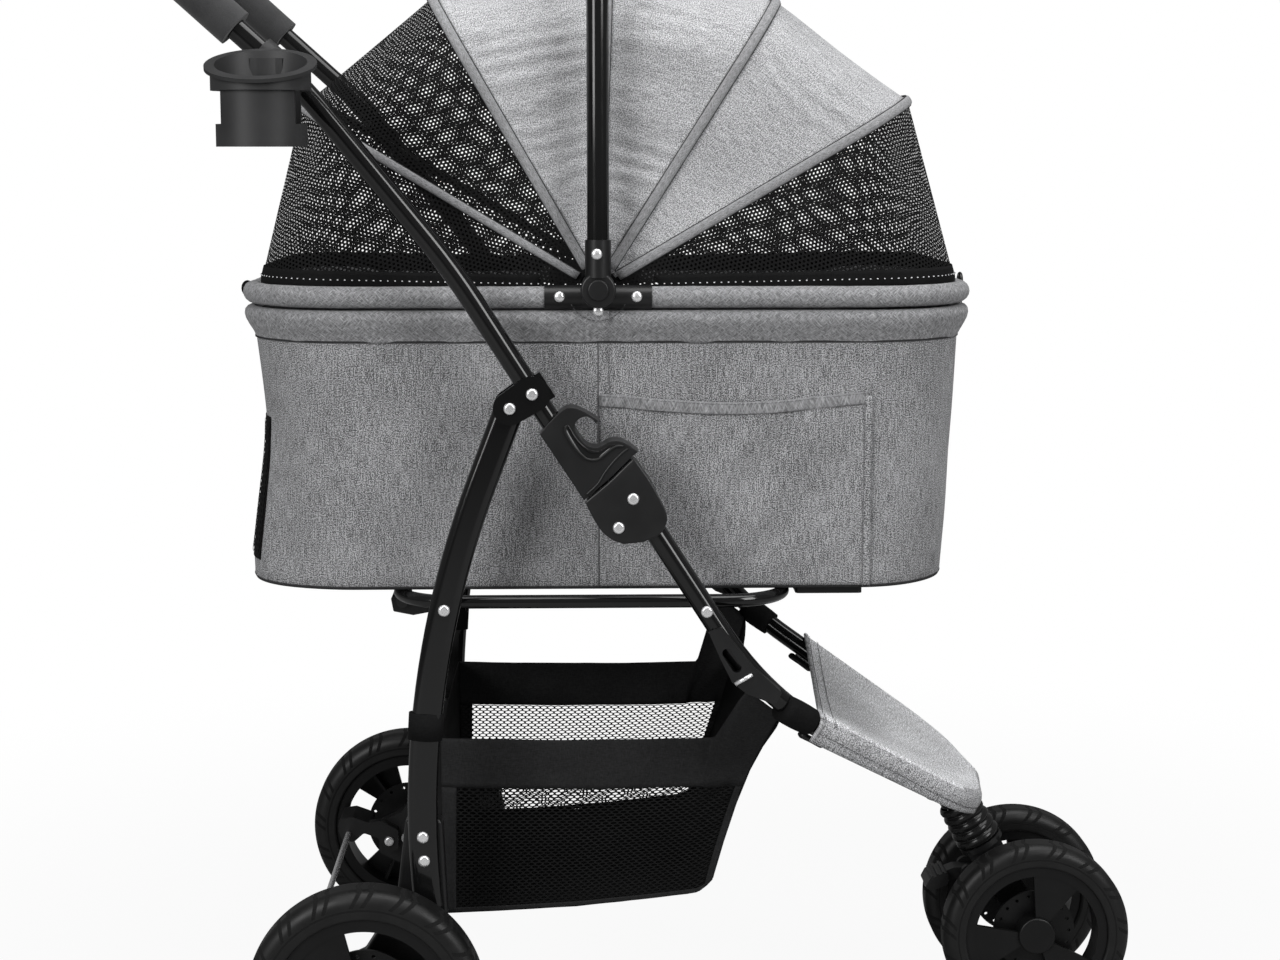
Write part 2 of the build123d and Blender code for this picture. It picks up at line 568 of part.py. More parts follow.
def rear_leg_solid(grow=0.0):
    path = rear_leg_path()
    plane = Plane(origin=path @ 0, x_dir=(0, 1, 0), z_dir=path % 0)
    return sweep(plane * SlotOverall(LEG_WIDE + 2 * grow, LEG_THICK + 2 * grow, rotation=90), path=path)


def rear_leg():
    """Curved flat-oval leg with a narrowed round top end."""
    leg = rear_leg_solid() - rear_leg_solid(-LEG_WALL)
    tip = cross_rod(BRACKET_X, BRACKET_Z, FRAME_HALF - LEG_THICK / 2, FRAME_HALF + LEG_THICK / 2, LEG_TIP_R)
    low, high = lock_point(60.0), lock_point(BRACKET_RISE + 60.0)
    room = rod((low[0], -FRAME_HALF, low[1]), (high[0], -FRAME_HALF, high[1]), BRACKET_BACK - LEG_TIP_R)
    leg = leg - room + tip
    for x, z in LEG_RIVETS:
        leg -= cross_rod(x, z, FRAME_HALF - 20, FRAME_HALF + 20, PIN_R)
    return leg - cross_rod(LOOP_REAR_X, LOOP_REAR_Z, FRAME_HALF - 20, FRAME_HALF + 20, PIN_R + FIT)


def by_wheel(points):
    """XZ points given in rear wheel radii from the axle."""
    return [(REAR_X + REAR_R * a, REAR_R + REAR_R * b) for a, b in points]


LEG_RIVETS = by_wheel([(0.473, 1.331), (0.482, 1.126)])
HOUSING_OUT = FRAME_HALF - LEG_THICK / 2 - FIT
HOUSING_IN = HOUSING_OUT - 14.0
AXLE_BOSS_R, AXLE_BOSS_OUT = 11.0, FRAME_HALF + 8.5


def brake_housing():
    """Moulded foot that joins the leg to the rear axle and carries the pedal."""
    outline = by_wheel([(0.32, 1.446), (0.629, 1.446), (0.663, 0.6), (0.343, -0.2), (-0.046, -0.269),
                        (-0.286, -0.154), (-0.286, 0.166), (-0.046, 0.28), (0.229, 0.714)])
    body = side_plate(rounded(outline, 5.0), HOUSING_IN, HOUSING_OUT)
    body = fillet(body.faces().sort_by(Axis.Y)[0].outer_wire().edges(), 2.5)
    body += cross_rod(REAR_X, REAR_R, HOUSING_OUT - 1, AXLE_BOSS_OUT, AXLE_BOSS_R)
    body -= cross_rod(REAR_X, REAR_R, HOUSING_IN - 1, AXLE_BOSS_OUT + 1, AXLE_R)
    for x, z in LEG_RIVETS + [PEDAL_PIVOT]:
        body -= cross_rod(x, z, HOUSING_IN - 1, HOUSING_OUT + 1, PIN_R)
    return body


PEDAL_PIVOT, (ROD_X, ROD_Z) = by_wheel([(-0.171, 0.006), (-0.589, 0.08)])
PEDAL_OUT = HOUSING_IN - GAP
PEDAL_IN = PEDAL_OUT - 9.5
ROD_R = 2.5


def leg_rivet_set():
    pieces = []
    outer = FRAME_HALF + LEG_THICK / 2
    for x, z in LEG_RIVETS:
        pieces.append(cross_rod(x, z, HOUSING_IN, outer, PIN_R) + rivet_head(x, z, outer))
    x, z = PEDAL_PIVOT
    pin = cross_rod(x, z, PEDAL_IN - GAP, HOUSING_OUT, PIN_R)
    pieces.append(pin + rivet_head(x, z, PEDAL_IN - GAP, -1))
    return pieces


def brake_pedal():
    """Arm on the inside of the housing with a ribbed pad behind it."""
    arm = rounded(by_wheel([(-0.08, -0.09), (-0.08, 0.12), (-0.26, 0.22), (-0.43, 0.19), (-0.54, 0.26),
                            (-0.66, 0.23), (-0.69, 0.12), (-0.65, 0.01), (-0.53, 0.0), (-0.43, 0.09),
                            (-0.29, 0.04), (-0.19, -0.11)]), 3.0)
    body = side_plate(arm, PEDAL_IN, PEDAL_OUT)
    pad = rounded(by_wheel([(-0.35, 0.19), (-0.54, 0.26), (-0.67, 0.24), (-0.7, 0.15), (-0.62, 0.14),
                            (-0.44, 0.13), (-0.36, 0.11)]), 2.0)
    body += side_plate(pad, PEDAL_IN, FRAME_HALF + 7)
    body -= cross_rod(*PEDAL_PIVOT, PEDAL_IN - 1, PEDAL_OUT + 1, PIN_R + FIT)
    return body - cross_rod(ROD_X, ROD_Z, PEDAL_IN - 1, PEDAL_OUT + 1, ROD_R)


def axle_reach(half, wide):
    return half + wide / 2 - RIM_INSET - AXLE_STOP - GAP


def rear_axle():
    return cross_rod(REAR_X, REAR_R, HOUSING_IN, axle_reach(REAR_HALF, REAR_WIDE), AXLE_R)


# Wheels, drawn about the Y axis with the outer face towards -Y
def tyre(radius, wide):
    low = radius * TYRE_SEAT
    profile = Pos((radius + low) / 2, 0) * Rectangle(radius - low, wide)
    profile = fillet(profile.vertices().group_by(Axis.X)[-1], wide * 0.30)
    profile = fillet(profile.vertices().group_by(Axis.X)[0], 2.5)
    return revolve(profile, axis=Axis.Y)


def sector(inner, outer, middle, span):
    """Part of a flat ring between two radii, in the XZ plane."""
    far = 3 * outer
    ends = [radians(middle + side * span / 2) for side in (-1, 1)]
    wedge = make_face(Polyline((0, 0), *[(far * cos(a), far * sin(a)) for a in ends], close=True))
    return (Circle(outer) - Circle(inner)) & wedge


def bladed_rim(radius, wide, blade_angle):
    """Rim ring, hub, three broad blades on the outer face and a holed disc behind them."""
    seat, window = radius * TYRE_SEAT - FIT, radius * WINDOW_OUT
    hub, disc = radius * HUB_OUT, radius * DISC_OUT
    half = wide / 2 - RIM_INSET
    rim = revolve(Pos((seat + window) / 2, 0) * Rectangle(seat - window, 2 * half), axis=Axis.Y)
    body = rim + rod((0, half, 0), (0, -half - 2, 0), hub)
    for k in range(BLADES):
        blade = sector(hub - 2, window + 2, blade_angle + 360 / BLADES * k, BLADE_SPAN)
        body += extrude(Plane.XZ.offset(half - 5) * blade, amount=4)
        rib = sector(hub - 2, window + 2, blade_angle + 360 / BLADES * k, 3)
        body += extrude(Plane.XZ.offset(-4) * rib, amount=half)
    plate = Circle(disc) - Circle(hub - 2)
    plate -= PolarLocations(disc - 4.5, DISC_HOLES) * Circle(1.4)
    body += extrude(Plane.XZ.offset(-4) * plate, amount=2.5)
    cap = body.faces().sort_by(Axis.Y)[0]
    body = fillet(cap.outer_wire().edges(), 1.8)
    return body - rod((0, half + 1, 0), (0, AXLE_STOP - half, 0), AXLE_R + FIT)


def add_wheel(name, radius, wide, x, half, blade_angle):
    shapes = (("tyre", tyre(radius, wide)), ("rim", bladed_rim(radius, wide, blade_angle)))
    for kind, shape in shapes:
        nodes[f"{name}_wheel_{kind}_right"] = Pos(x, -half, radius) * shape
        nodes[f"{name}_wheel_{kind}_left"] = mirrored(Pos(x, -half, radius) * shape)


# Caster
STRUT_RUN = Vector(FRONT_X - STRUT_X, 0, FRONT_R - STRUT_Z)
STRUT_DIR = STRUT_RUN.normalized()


def strut(distance):
    return Vector(STRUT_X, 0, STRUT_Z) + STRUT_DIR * distance


def strut_rod(start, end, radius):
    return rod(strut(start), strut(end), radius)


def caster_stem():
    """Swivel pin, flange and the hollow upper half of the sprung strut."""
    flange_z = HOUSING_LOW - 0.4
    body = rod((SWIVEL_X, 0, flange_z - 5), (SWIVEL_X, 0, flange_z), HOUSING_R)
    pin_top = leg_plane_z(NOSE_X) + HOUSING_RISE - 4
    body += rod((SWIVEL_X, 0, flange_z), (SWIVEL_X, 0, pin_top), SWIVEL_R)
    head = strut_rod(0, GAITER_FROM - 0.3, 13.5)
    body += head & Pos(STRUT_X, 0, flange_z - 30) * Box(80, 80, 60)
    body += strut_rod(GAITER_FROM - 1, GAITER_TO - 10, STRUT_TUBE_R)
    return body - strut_rod(4, GAITER_TO, STRUT_ROD_R + FIT)


def spring_gaiter():
    """Rubber bellows: four circles to a rib, drawn on the X axis and turned onto the strut."""
    length = GAITER_TO - GAITER_FROM - 0.6
    pitch = length / GAITER_RIBS
    circles = []
    for k in range(GAITER_RIBS):
        grow = 2.4 * k / (GAITER_RIBS - 1)
        for share, radius in ((0.0, 14.6), (0.34, 16.8), (0.66, 16.8), (0.97, 14.6)):
            circles.append(Plane.YZ.offset((k + share) * pitch) * Circle(radius + grow))
    body = loft(circles, ruled=True) - rod((-1, 0, 0), (length + 1, 0, 0), GAITER_BORE)
    place = Plane(origin=strut(GAITER_FROM + 0.3), x_dir=STRUT_DIR, z_dir=STRUT_DIR.cross(Vector(0, 1, 0)))
    return place * body


def suspension_spring():
    """Coil between the strut head and the fork collar, inside the gaiter."""
    wire = SPRING_WIRE / 2
    low, high = GAITER_FROM + wire + 0.2, GAITER_TO - wire - 0.2
    coil = Helix(pitch=(high - low) / SPRING_TURNS, height=high - low, radius=SPRING_R)
    body = sweep(Plane(origin=coil @ 0, z_dir=coil % 0) * Circle(wire), path=coil, is_frenet=True)
    gap = (high - low) / SPRING_TURNS - SPRING_WIRE
    print(f"suspension spring: least gap between turns {gap:.2f} mm")
    return Plane(origin=strut(low), z_dir=STRUT_DIR) * body


LEVER_PIVOT = (219.0, 112.0)


def caster_fork():
    """Strut rod, collar under the gaiter and the block that carries the axle."""
    collar = strut_rod(GAITER_TO + 0.3, GAITER_TO + 5, 18.5)
    body = strut_rod(16, GAITER_TO + 8, STRUT_ROD_R) + collar
    top, low = strut(GAITER_TO + 2), strut(STRUT_RUN.length)
    across = Vector(STRUT_DIR.Z, 0, -STRUT_DIR.X)
    corners = [top + across * 15, top - across * 15, low - across * 11, low + across * 11]
    block = make_face(Polyline(*[(p.X, p.Z) for p in corners], close=True))
    body += extrude(Plane.XZ * block, amount=FORK_HALF, both=True)
    body += cross_rod(FRONT_X, FRONT_R, -(FRONT_HALF - FRONT_WIDE / 2 - 1), FRONT_HALF - FRONT_WIDE / 2 - 1, 12.0)
    lug_x, lug_z = LEVER_PIVOT
    for side in (1, -1):
        plate = make_hull((Pos(lug_x, lug_z) * Circle(7) + Pos(lug_x + 22, lug_z - 4) * Circle(9)).edges())
        body += Pos(0, side * 11.0, 0) * extrude(Plane.XZ * plate, amount=2.5, both=True)
    body -= extrude(Plane.XZ * (Pos(lug_x, lug_z) * Circle(10)), amount=8.5, both=True)
    body -= cross_rod(lug_x, lug_z, -30, 30, 2.5)
    return body - cross_rod(FRONT_X, FRONT_R, -60, 60, AXLE_R)


def front_lock_lever():
    """Ribbed foot lever on its pin behind the fork."""
    x, z = LEVER_PIVOT
    paddle = rounded([(x + 6, z + 4), (x - 12, z + 3), (x - 33, z - 5), (x - 36, z - 12), (x - 28, z - 13),
                      (x - 10, z - 6), (x + 6, z - 5)], 1.8)
    body = extrude(Plane.XZ * paddle, amount=7.8, both=True)
    tip = rounded([(x - 18, z + 2), (x - 33, z - 4), (x - 37, z - 12), (x - 30, z - 14), (x - 18, z - 9)], 2.0)
    body += extrude(Plane.XZ * tip, amount=15, both=True)
    ribs = [Pos(x - 22 - 4.5 * k, 0, z + 0.6 - 1.8 * k) * Box(1.6, 30, 2.4) for k in range(3)]
    body += ribs
    return body + cross_rod(x, z, -13.5, 13.5, 2.5 - FIT)


def front_axle():
    reach = axle_reach(FRONT_HALF, FRONT_WIDE)
    return cross_rod(FRONT_X, FRONT_R, -reach, reach, AXLE_R)


# Carrier
def tub_shape(long, half, corner, low, high, draft):
    bottom = Plane.XY.offset(low) * rounded_plan(long - draft, half - draft, corner - draft)
    top = Plane.XY.offset(high) * rounded_plan(long, half, corner)
    return loft([bottom, top], ruled=True)


def carrier_basket():
    outside = tub_shape(TUB_LONG, TUB_HALF, TUB_CORNER, BASE_Z, RIM_HIGH, TUB_DRAFT)
    inside = tub_shape(TUB_LONG - TUB_WALL, TUB_HALF - TUB_WALL, TUB_CORNER - TUB_WALL, BASE_Z + TUB_WALL,
                       RIM_HIGH + 0.1, TUB_DRAFT)
    return outside - inside


def basket_rim():
    """Rolled cloth band round the top of the basket."""
    band = extrude(Plane.XY.offset(RIM_LOW) * rounded_plan(TUB_LONG + RIM_OUT, TUB_HALF + RIM_OUT,
                                                           TUB_CORNER + RIM_OUT), amount=RIM_HIGH - RIM_LOW)
    band = fillet(band.faces().sort_by(Axis.Z)[-1].outer_wire().edges(), 6.0)
    band = chamfer(band.faces().sort_by(Axis.Z)[0].outer_wire().edges(), 6.0)
    hole = Plane.XY.offset(RIM_LOW - 1) * rounded_plan(TUB_LONG + 0.2, TUB_HALF + 0.2, TUB_CORNER + 0.2)
    return band - extrude(hole, amount=RIM_HIGH - RIM_LOW + 2)


def canopy_ring():
    """Ring tube above the rim, cut where the hub arms take over."""
    plan = Plane.XY.offset(RING_Z) * rounded_plan(RING_LONG, RING_HALF, RING_CORNER)
    ring = tube(plan.face().outer_wire(), RING_R)
    cut = Pos(HUB_X, -RING_HALF, RING_Z) * Box(2 * HUB_ARM_LONG - 6, 40, 40)
    return ring - cut - mirrored(cut)


def handle_hub():
    """Fixed hub: two arms on the ring tube, a back disc and the pivot pin."""
    left, right = HUB_X - HUB_ARM_LONG, HUB_X + HUB_ARM_LONG
    arms = rod((left, -RING_HALF, RING_Z), (right, -RING_HALF, RING_Z), HUB_ARM_R)
    sockets = rod((left - 1, -RING_HALF, RING_Z), (left + 4, -RING_HALF, RING_Z), RING_R + FIT)
    sockets += rod((right - 4, -RING_HALF, RING_Z), (right + 1, -RING_HALF, RING_Z), RING_R + FIT)
    disc = cross_rod(HUB_X, HUB_Z, HUB_BACK, HUB_FACE, HUB_R - 0.3)
    pin = cross_rod(HUB_X, HUB_Z, BOW_LEVEL - len(BOWS) * BOW_STEP - 2, HUB_OUTER - BUTTON_DEEP - 3.5, PIN_R)
    return arms - sockets + disc + pin


def carry_handle():
    """Arch tube in the two swinging sockets."""
    top = HUB_Z + ARCH_RADIUS
    foot = HUB_Z + SOCKET_FROM + 8
    points = [(HUB_X, -ARCH_HALF, foot), (HUB_X, -ARCH_HALF, top), (HUB_X, ARCH_HALF, top), (HUB_X, ARCH_HALF, foot)]
    return tube(bent_path(points, [ARCH_CORNER, ARCH_CORNER]), ARCH_R, ARCH_R - TUBE_WALL)


def carry_socket():
    """Swinging half of the hub: disc with the button well and the socket for the arch."""
    disc = cross_rod(HUB_X, HUB_Z, HUB_FACE + 0.4, HUB_OUTER, HUB_R)
    disc = fillet(disc.faces().sort_by(Axis.Y)[0].outer_wire().edges(), 2.0)
    socket = rod((HUB_X, -ARCH_HALF, HUB_Z + SOCKET_FROM), (HUB_X, -ARCH_HALF, HUB_Z + SOCKET_TO), SOCKET_R)
    socket &= Pos(HUB_X, -(HUB_FACE + 0.4 + 20), HUB_Z + 30) * Box(60, 40, 100)
    body = disc + socket
    body -= cross_rod(HUB_X, HUB_Z, HUB_OUTER - BUTTON_DEEP - 3, HUB_OUTER + 1, BUTTON_R + FIT)
    body -= cross_rod(HUB_X, HUB_Z, HUB_FACE, HUB_OUTER, PIN_R + FIT)
    well = rod((HUB_X, -ARCH_HALF, HUB_Z + SOCKET_FROM + 8), (HUB_X, -ARCH_HALF, HUB_Z + SOCKET_TO + 1),
               ARCH_R + FIT)
    return body - well


def hub_button():
    button = cross_rod(HUB_X, HUB_Z, HUB_OUTER - BUTTON_DEEP + 0.5, HUB_OUTER + BUTTON_PROUD, BUTTON_R)
    return fillet(button.faces().sort_by(Axis.Y)[0].outer_wire().edges(), 1.2)


def base_board():
    """Stiff floor of the carrier, inside the cloth."""
    plan = rounded_plan(TUB_LONG - 16, TUB_HALF - 16, TUB_CORNER - 16)
    return extrude(Plane.XY.offset(BASE_Z + TUB_WALL) * plan, amount=BOARD_THICK)


def base_rail():
    """Flat rail under the front of the carrier, ahead of the seat loop."""
    start = LOOP_FRONT_X + LOOP_R + 4
    rail = Pos(start + RAIL_LONG / 2, RAIL_WIDE / 2 - TUB_HALF + 17, BASE_Z - 3.2) * Box(RAIL_LONG, RAIL_WIDE, 6.4)
    return fillet(rail.edges().filter_by(Axis.Z), 3.0)


# Canopy
def bow_plane(angle):
    a = radians(angle)
    return Plane(origin=(HUB_X, 0, HUB_Z), x_dir=(cos(a), 0, sin(a)), z_dir=(-sin(a), 0, cos(a)))


def hoop_face(reach, inset, inner):
    """Flat region inside a U-shaped hoop, in the plane of a bow."""
    half = CANOPY_HALF - inset
    length = reach - inset - inner
    face = Pos(inner + length / 2, 0) * Rectangle(length, 2 * half)
    return fillet(face.vertices().group_by(Axis.X)[-1], CANOPY_CORNER - inset)


def canopy_panel(start, end):
    """Cloth shell stretched between two hoops, each an angle and a reach."""
    split = 0.5
    outer = [bow_plane(start[0] + split) * hoop_face(start[1], 0, CANOPY_EYE),
             bow_plane(end[0] - split) * hoop_face(end[1], 0, CANOPY_EYE)]
    inner = [bow_plane(start[0] - split) * hoop_face(start[1], CANOPY_SKIN, CANOPY_EYE - 8),
             bow_plane(end[0] + split) * hoop_face(end[1], CANOPY_SKIN, CANOPY_EYE - 8)]
    return loft(outer, ruled=True) - loft(inner, ruled=True)


def canopy_bow(index, angle, reach):
    """Hoop of wire with a thin flat blade at each end that turns on the hub pin."""
    side = CANOPY_HALF - BOW_INSET
    tip = reach - BOW_INSET
    points = [(BOW_BLADE, -side, 0), (tip, -side, 0), (tip, side, 0), (BOW_BLADE, side, 0)]
    corner = CANOPY_CORNER - BOW_INSET
    wire = tube(bent_path(points, [corner, corner]), BOW_WIRE_R)
    level = BOW_LEVEL - BOW_STEP * index
    thick = 1.3
    blade = Pos(BOW_BLADE / 2, -level + thick / 2, 0) * Box(BOW_BLADE, thick, 5.0)
    eye = rod((0, -level, 0), (0, -level + thick, 0), PIN_R + 3)
    reach_in = max(level, side + BOW_WIRE_R) - min(level - thick, side - BOW_WIRE_R)
    block_y = -(max(level, side + BOW_WIRE_R) - reach_in / 2)
    block = Pos(BOW_BLADE + 2, block_y, 0) * Box(6, reach_in, 5.0)
    end = blade + eye + block - rod((0, -level - 5, 0), (0, -level + 5, 0), PIN_R + FIT)
    return bow_plane(angle) * (wire + end + mirrored(end))


# Assembly
nodes["front_leg_right"] = front_leg()
nodes["front_leg_left"] = mirrored(nodes["front_leg_right"])
nodes["leg_gussets"] = pair(leg_gusset())
nodes["fold_shells"] = pair(fold_shell())
nodes["front_housing"] = front_housing()
nodes["footrest_cover"] = footrest_cover()
nodes["storage_basket"] = storage_basket()
frame_rivets = frame_rivet_set()
nodes["frame_rivets"] = Part() + frame_rivets + [mirrored(r) for r in frame_rivets]
nodes["seat_loop"] = seat_loop()
pins = loop_pins()
nodes["loop_pivot_pins"] = Part() + pins + [mirrored(p) for p in pins]
nodes["carrier_latch"] = carrier_latch()
nodes["handle_tube"] = handle_tube()
nodes["handle_grip"] = handle_grip()
nodes["leg_brackets"] = pair(leg_bracket())
rivets = handle_rivet_set()
nodes["handle_rivets"] = Part() + rivets + [mirrored(r) for r in rivets]
nodes["fold_slider_right"] = fold_slider()
nodes["fold_slider_left"] = mirrored(nodes["fold_slider_right"])
nodes["cup_holder"] = cup_holder()
nodes["rear_leg_right"] = rear_leg()
nodes["rear_leg_left"] = mirrored(nodes["rear_leg_right"])
nodes["brake_housings"] = pair(brake_housing())
rivets = leg_rivet_set()
nodes["leg_rivets"] = Part() + rivets + [mirrored(r) for r in rivets]
nodes["rear_axles"] = pair(rear_axle())
nodes["brake_pedals"] = pair(brake_pedal())
nodes["brake_rod"] = cross_rod(ROD_X, ROD_Z, -PEDAL_OUT, PEDAL_OUT, ROD_R)
add_wheel("rear", REAR_R, REAR_WIDE, REAR_X, REAR_HALF, REAR_BLADE_ANGLE)
add_wheel("front", FRONT_R, FRONT_WIDE, FRONT_X, FRONT_HALF, FRONT_BLADE_ANGLE)
nodes["caster_stem"] = caster_stem()
nodes["spring_gaiter"] = spring_gaiter()
nodes["suspension_spring"] = suspension_spring()
nodes["caster_fork"] = caster_fork()
nodes["front_axle"] = front_axle()
nodes["front_lock_lever"] = front_lock_lever()
nodes["carrier_basket"] = carrier_basket()
nodes["basket_rim"] = basket_rim()
nodes["canopy_ring"] = canopy_ring()
nodes["handle_hubs"] = pair(handle_hub())
nodes["carry_handle"] = carry_handle()
nodes["carry_sockets"] = pair(carry_socket())
nodes["hub_button_right"] = hub_button()
nodes["hub_button_left"] = mirrored(nodes["hub_button_right"])
nodes["base_board"] = base_board()
nodes["base_rails"] = pair(base_rail())
for index, (name, (angle, reach)) in enumerate(BOWS.items()):
    nodes[f"canopy_bow_{name}"] = canopy_bow(index, angle, reach)
nodes["front_mesh"] = canopy_panel(RING_FRONT, BOWS["front"])
nodes["canopy_cloth_front"] = canopy_panel(BOWS["front"], BOWS["second"])
nodes["canopy_cloth_middle"] = canopy_panel(BOWS["second"], BOWS["top"])
nodes["canopy_cloth_rear"] = canopy_panel(BOWS["top"], BOWS["fourth"])
nodes["rear_mesh_upper"] = canopy_panel(BOWS["fourth"], BOWS["rear"])
nodes["rear_mesh_lower"] = canopy_panel(BOWS["rear"], RING_BACK)

os.makedirs("parts", exist_ok=True)
for name, shape in nodes.items():
    export_step(shape, f"parts/{name}.step")
print(len(nodes), "nodes")
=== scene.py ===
"""Looks of the folding pet stroller: cloth, mesh, foam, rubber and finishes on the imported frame.

Frame of the part: +X forward, +Y to the left side, +Z up, floor at z = 0.
Sizes here are in millimetres and become metres where a mesh is made.
"""

from math import atan2, cos, degrees, exp, hypot, pi, radians, sin, sqrt

import bmesh
import bpy
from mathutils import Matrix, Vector, noise


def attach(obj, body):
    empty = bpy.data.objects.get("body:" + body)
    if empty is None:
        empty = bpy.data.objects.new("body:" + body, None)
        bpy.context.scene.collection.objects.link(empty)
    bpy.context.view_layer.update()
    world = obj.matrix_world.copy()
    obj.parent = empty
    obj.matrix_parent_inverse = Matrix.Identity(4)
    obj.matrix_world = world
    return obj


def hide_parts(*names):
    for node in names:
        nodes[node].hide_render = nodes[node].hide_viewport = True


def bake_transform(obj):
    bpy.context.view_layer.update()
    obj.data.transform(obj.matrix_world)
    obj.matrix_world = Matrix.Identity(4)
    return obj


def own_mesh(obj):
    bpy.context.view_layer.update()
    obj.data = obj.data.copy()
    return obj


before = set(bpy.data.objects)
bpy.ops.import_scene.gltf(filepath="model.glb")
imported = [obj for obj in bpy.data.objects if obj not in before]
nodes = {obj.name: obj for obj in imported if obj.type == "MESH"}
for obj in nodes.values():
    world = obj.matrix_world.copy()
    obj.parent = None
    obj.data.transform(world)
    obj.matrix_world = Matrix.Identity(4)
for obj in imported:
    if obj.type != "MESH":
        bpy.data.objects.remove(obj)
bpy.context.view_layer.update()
MM = 0.001

# Sizes shared with the solids
HUB_X, HUB_Z = -87.0, 602.0
CANOPY_HALF, CANOPY_CORNER = 149.0, 62.0
RING_BACK, RING_FRONT = (178.8, 252.0), (1.2, 270.0)
BOWS = {"rear": (149.0, 256.0), "fourth": (120.0, 244.0), "top": (88.0, 236.0), "second": (57.5, 248.0),
        "front": (30.4, 270.0)}
BOW_BODY = {"rear": "carrier", "fourth": "bow_fourth", "top": "bow_top", "second": "bow_second",
            "front": "bow_front"}
CARRIER_X = -79.0
TUB = (267.0, 155.0, 80.0)          # half length, half width and corner of the basket
TUB_DRAFT = 4.0
BASE_Z, SEAM_Z, RIM_TOP = 378.4, 564.0, 586.5
RING_Z, RING = 595.8, (268.5, 157.0, 84.0)
HUB_ARM = 39.0
FRAME_HALF = 195.0
WALL_CLOTH, POCKET_CLOTH, LIGHT_CLOTH = 1.2, 1.0, 0.8      # thickness of the cloths, the lining and the seams
THIN_CLOTH, SEAM_TAPE = 0.6, 0.5


# Number helpers
def clamp(value, low=0.0, high=1.0):
    """Value held between two limits."""
    return min(max(value, low), high)


def ease(share):
    """Share from 0 to 1, eased in and out."""
    share = clamp(share)
    return share * share * (3 - 2 * share)


def evenly(start, stop, count):
    """Numbers from start to stop in even steps."""
    return [start + (stop - start) * k / (count - 1) for k in range(count)]


def soft_noise(a, b, c):
    """Smooth noise between about -1 and 1."""
    return noise.noise(Vector((a, b, c)))


def ellipse(wide, tall, count):
    """Points round an ellipse of two half axes."""
    return [(wide * cos(2 * pi * k / count), tall * sin(2 * pi * k / count)) for k in range(count)]


def circle(radius, count):
    """Points round a circle."""
    return ellipse(radius, radius, count)


# Mesh helpers
def grid_faces(rows, columns, close_rows=False, close_columns=False):
    """Quads of a grid whose points run row by row."""
    faces = []
    for i in range(rows if close_rows else rows - 1):
        for j in range(columns if close_columns else columns - 1):
            k, m = (i + 1) % rows, (j + 1) % columns
            faces.append((i * columns + j, i * columns + m, k * columns + m, k * columns + j))
    return faces


def add_object(name, data):
    """Object with its data, linked to the scene."""
    holder = bpy.data.objects.new(name, data)
    bpy.context.scene.collection.objects.link(holder)
    return holder


def make_piece(name, points, faces, material, body, uvs=None, smooth=True):
    """Mesh object from points in millimetres, riding on a body unless that is None."""
    mesh = bpy.data.meshes.new(name)
    mesh.from_pydata([[c * MM for c in p] for p in points], [], faces)
    if uvs:
        layer = mesh.uv_layers.new(name="cloth")
        for loop in mesh.loops:
            layer.data[loop.index].uv = [c * MM for c in uvs[loop.vertex_index]]
    mesh.materials.append(material)
    for polygon in mesh.polygons:
        polygon.use_smooth = smooth
    mesh.update()
    piece = add_object(name, mesh)
    if body:
        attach(piece, body)
    return piece


def thicken(piece, thickness, offset=-1.0):
    """Give a sheet its thickness in millimetres and keep the result as its mesh."""
    modifier = piece.modifiers.new("thickness", "SOLIDIFY")
    modifier.thickness = thickness * MM
    modifier.offset = offset
    piece.data = evaluated(piece)


def evaluated(piece):
    """Mesh of an object with its modifiers, which are then dropped."""
    graph = bpy.context.evaluated_depsgraph_get()
    mesh = bpy.data.meshes.new_from_object(piece.evaluated_get(graph))
    piece.modifiers.clear()
    return mesh


def face_outwards(piece, centre):
    """Flip a sheet whose faces look towards a point inside it, in millimetres."""
    middle = Vector(centre) * MM
    facing = sum((p.center - middle).dot(p.normal) * p.area for p in piece.data.polygons)
    if facing < 0:
        piece.data.flip_normals()


def joined(points_and_faces):
    """One list of points and faces from several."""
    points, faces = [], []
    for some_points, some_faces in points_and_faces:
        shift = len(points)
        points += some_points
        faces += [tuple(i + shift for i in face) for face in some_faces]
    return points, faces


def sweep(path, section, closed=False, up=None, scale=None):
    """Points and faces of a section carried along a path of points, with capped ends."""
    path = [Vector(p) for p in path]
    count = len(path)
    points = []
    side = None
    for i, here in enumerate(path):
        before = path[i - 1] if i or closed else path[0]
        after = path[(i + 1) % count] if i + 1 < count or closed else path[-1]
        run = (after - before).normalized()
        if up is not None:
            side = Vector(up[i] if isinstance(up, list) else up).cross(run).normalized()
        elif side is None:
            helper = Vector((0, 0, 1)) if abs(run.z) < 0.9 else Vector((1, 0, 0))
            side = helper.cross(run).normalized()
        else:
            side = (side - run * side.dot(run)).normalized()
        rise = run.cross(side)
        size = scale[i] if scale else 1.0
        points += [here + side * (a * size) + rise * (b * size) for a, b in section]
    faces = grid_faces(count, len(section), close_rows=closed, close_columns=True)
    if not closed:
        faces.append(tuple(reversed(range(len(section)))))
        faces.append(tuple(range((count - 1) * len(section), count * len(section))))
    return points, faces


def reversed_faces(faces):
    """Faces that look the other way."""
    return [tuple(reversed(face)) for face in faces]


def mirrored(shape):
    """Points and faces of the same shape on the other side."""
    points, faces = shape
    return [(x, -y, z) for x, y, z in points], reversed_faces(faces)


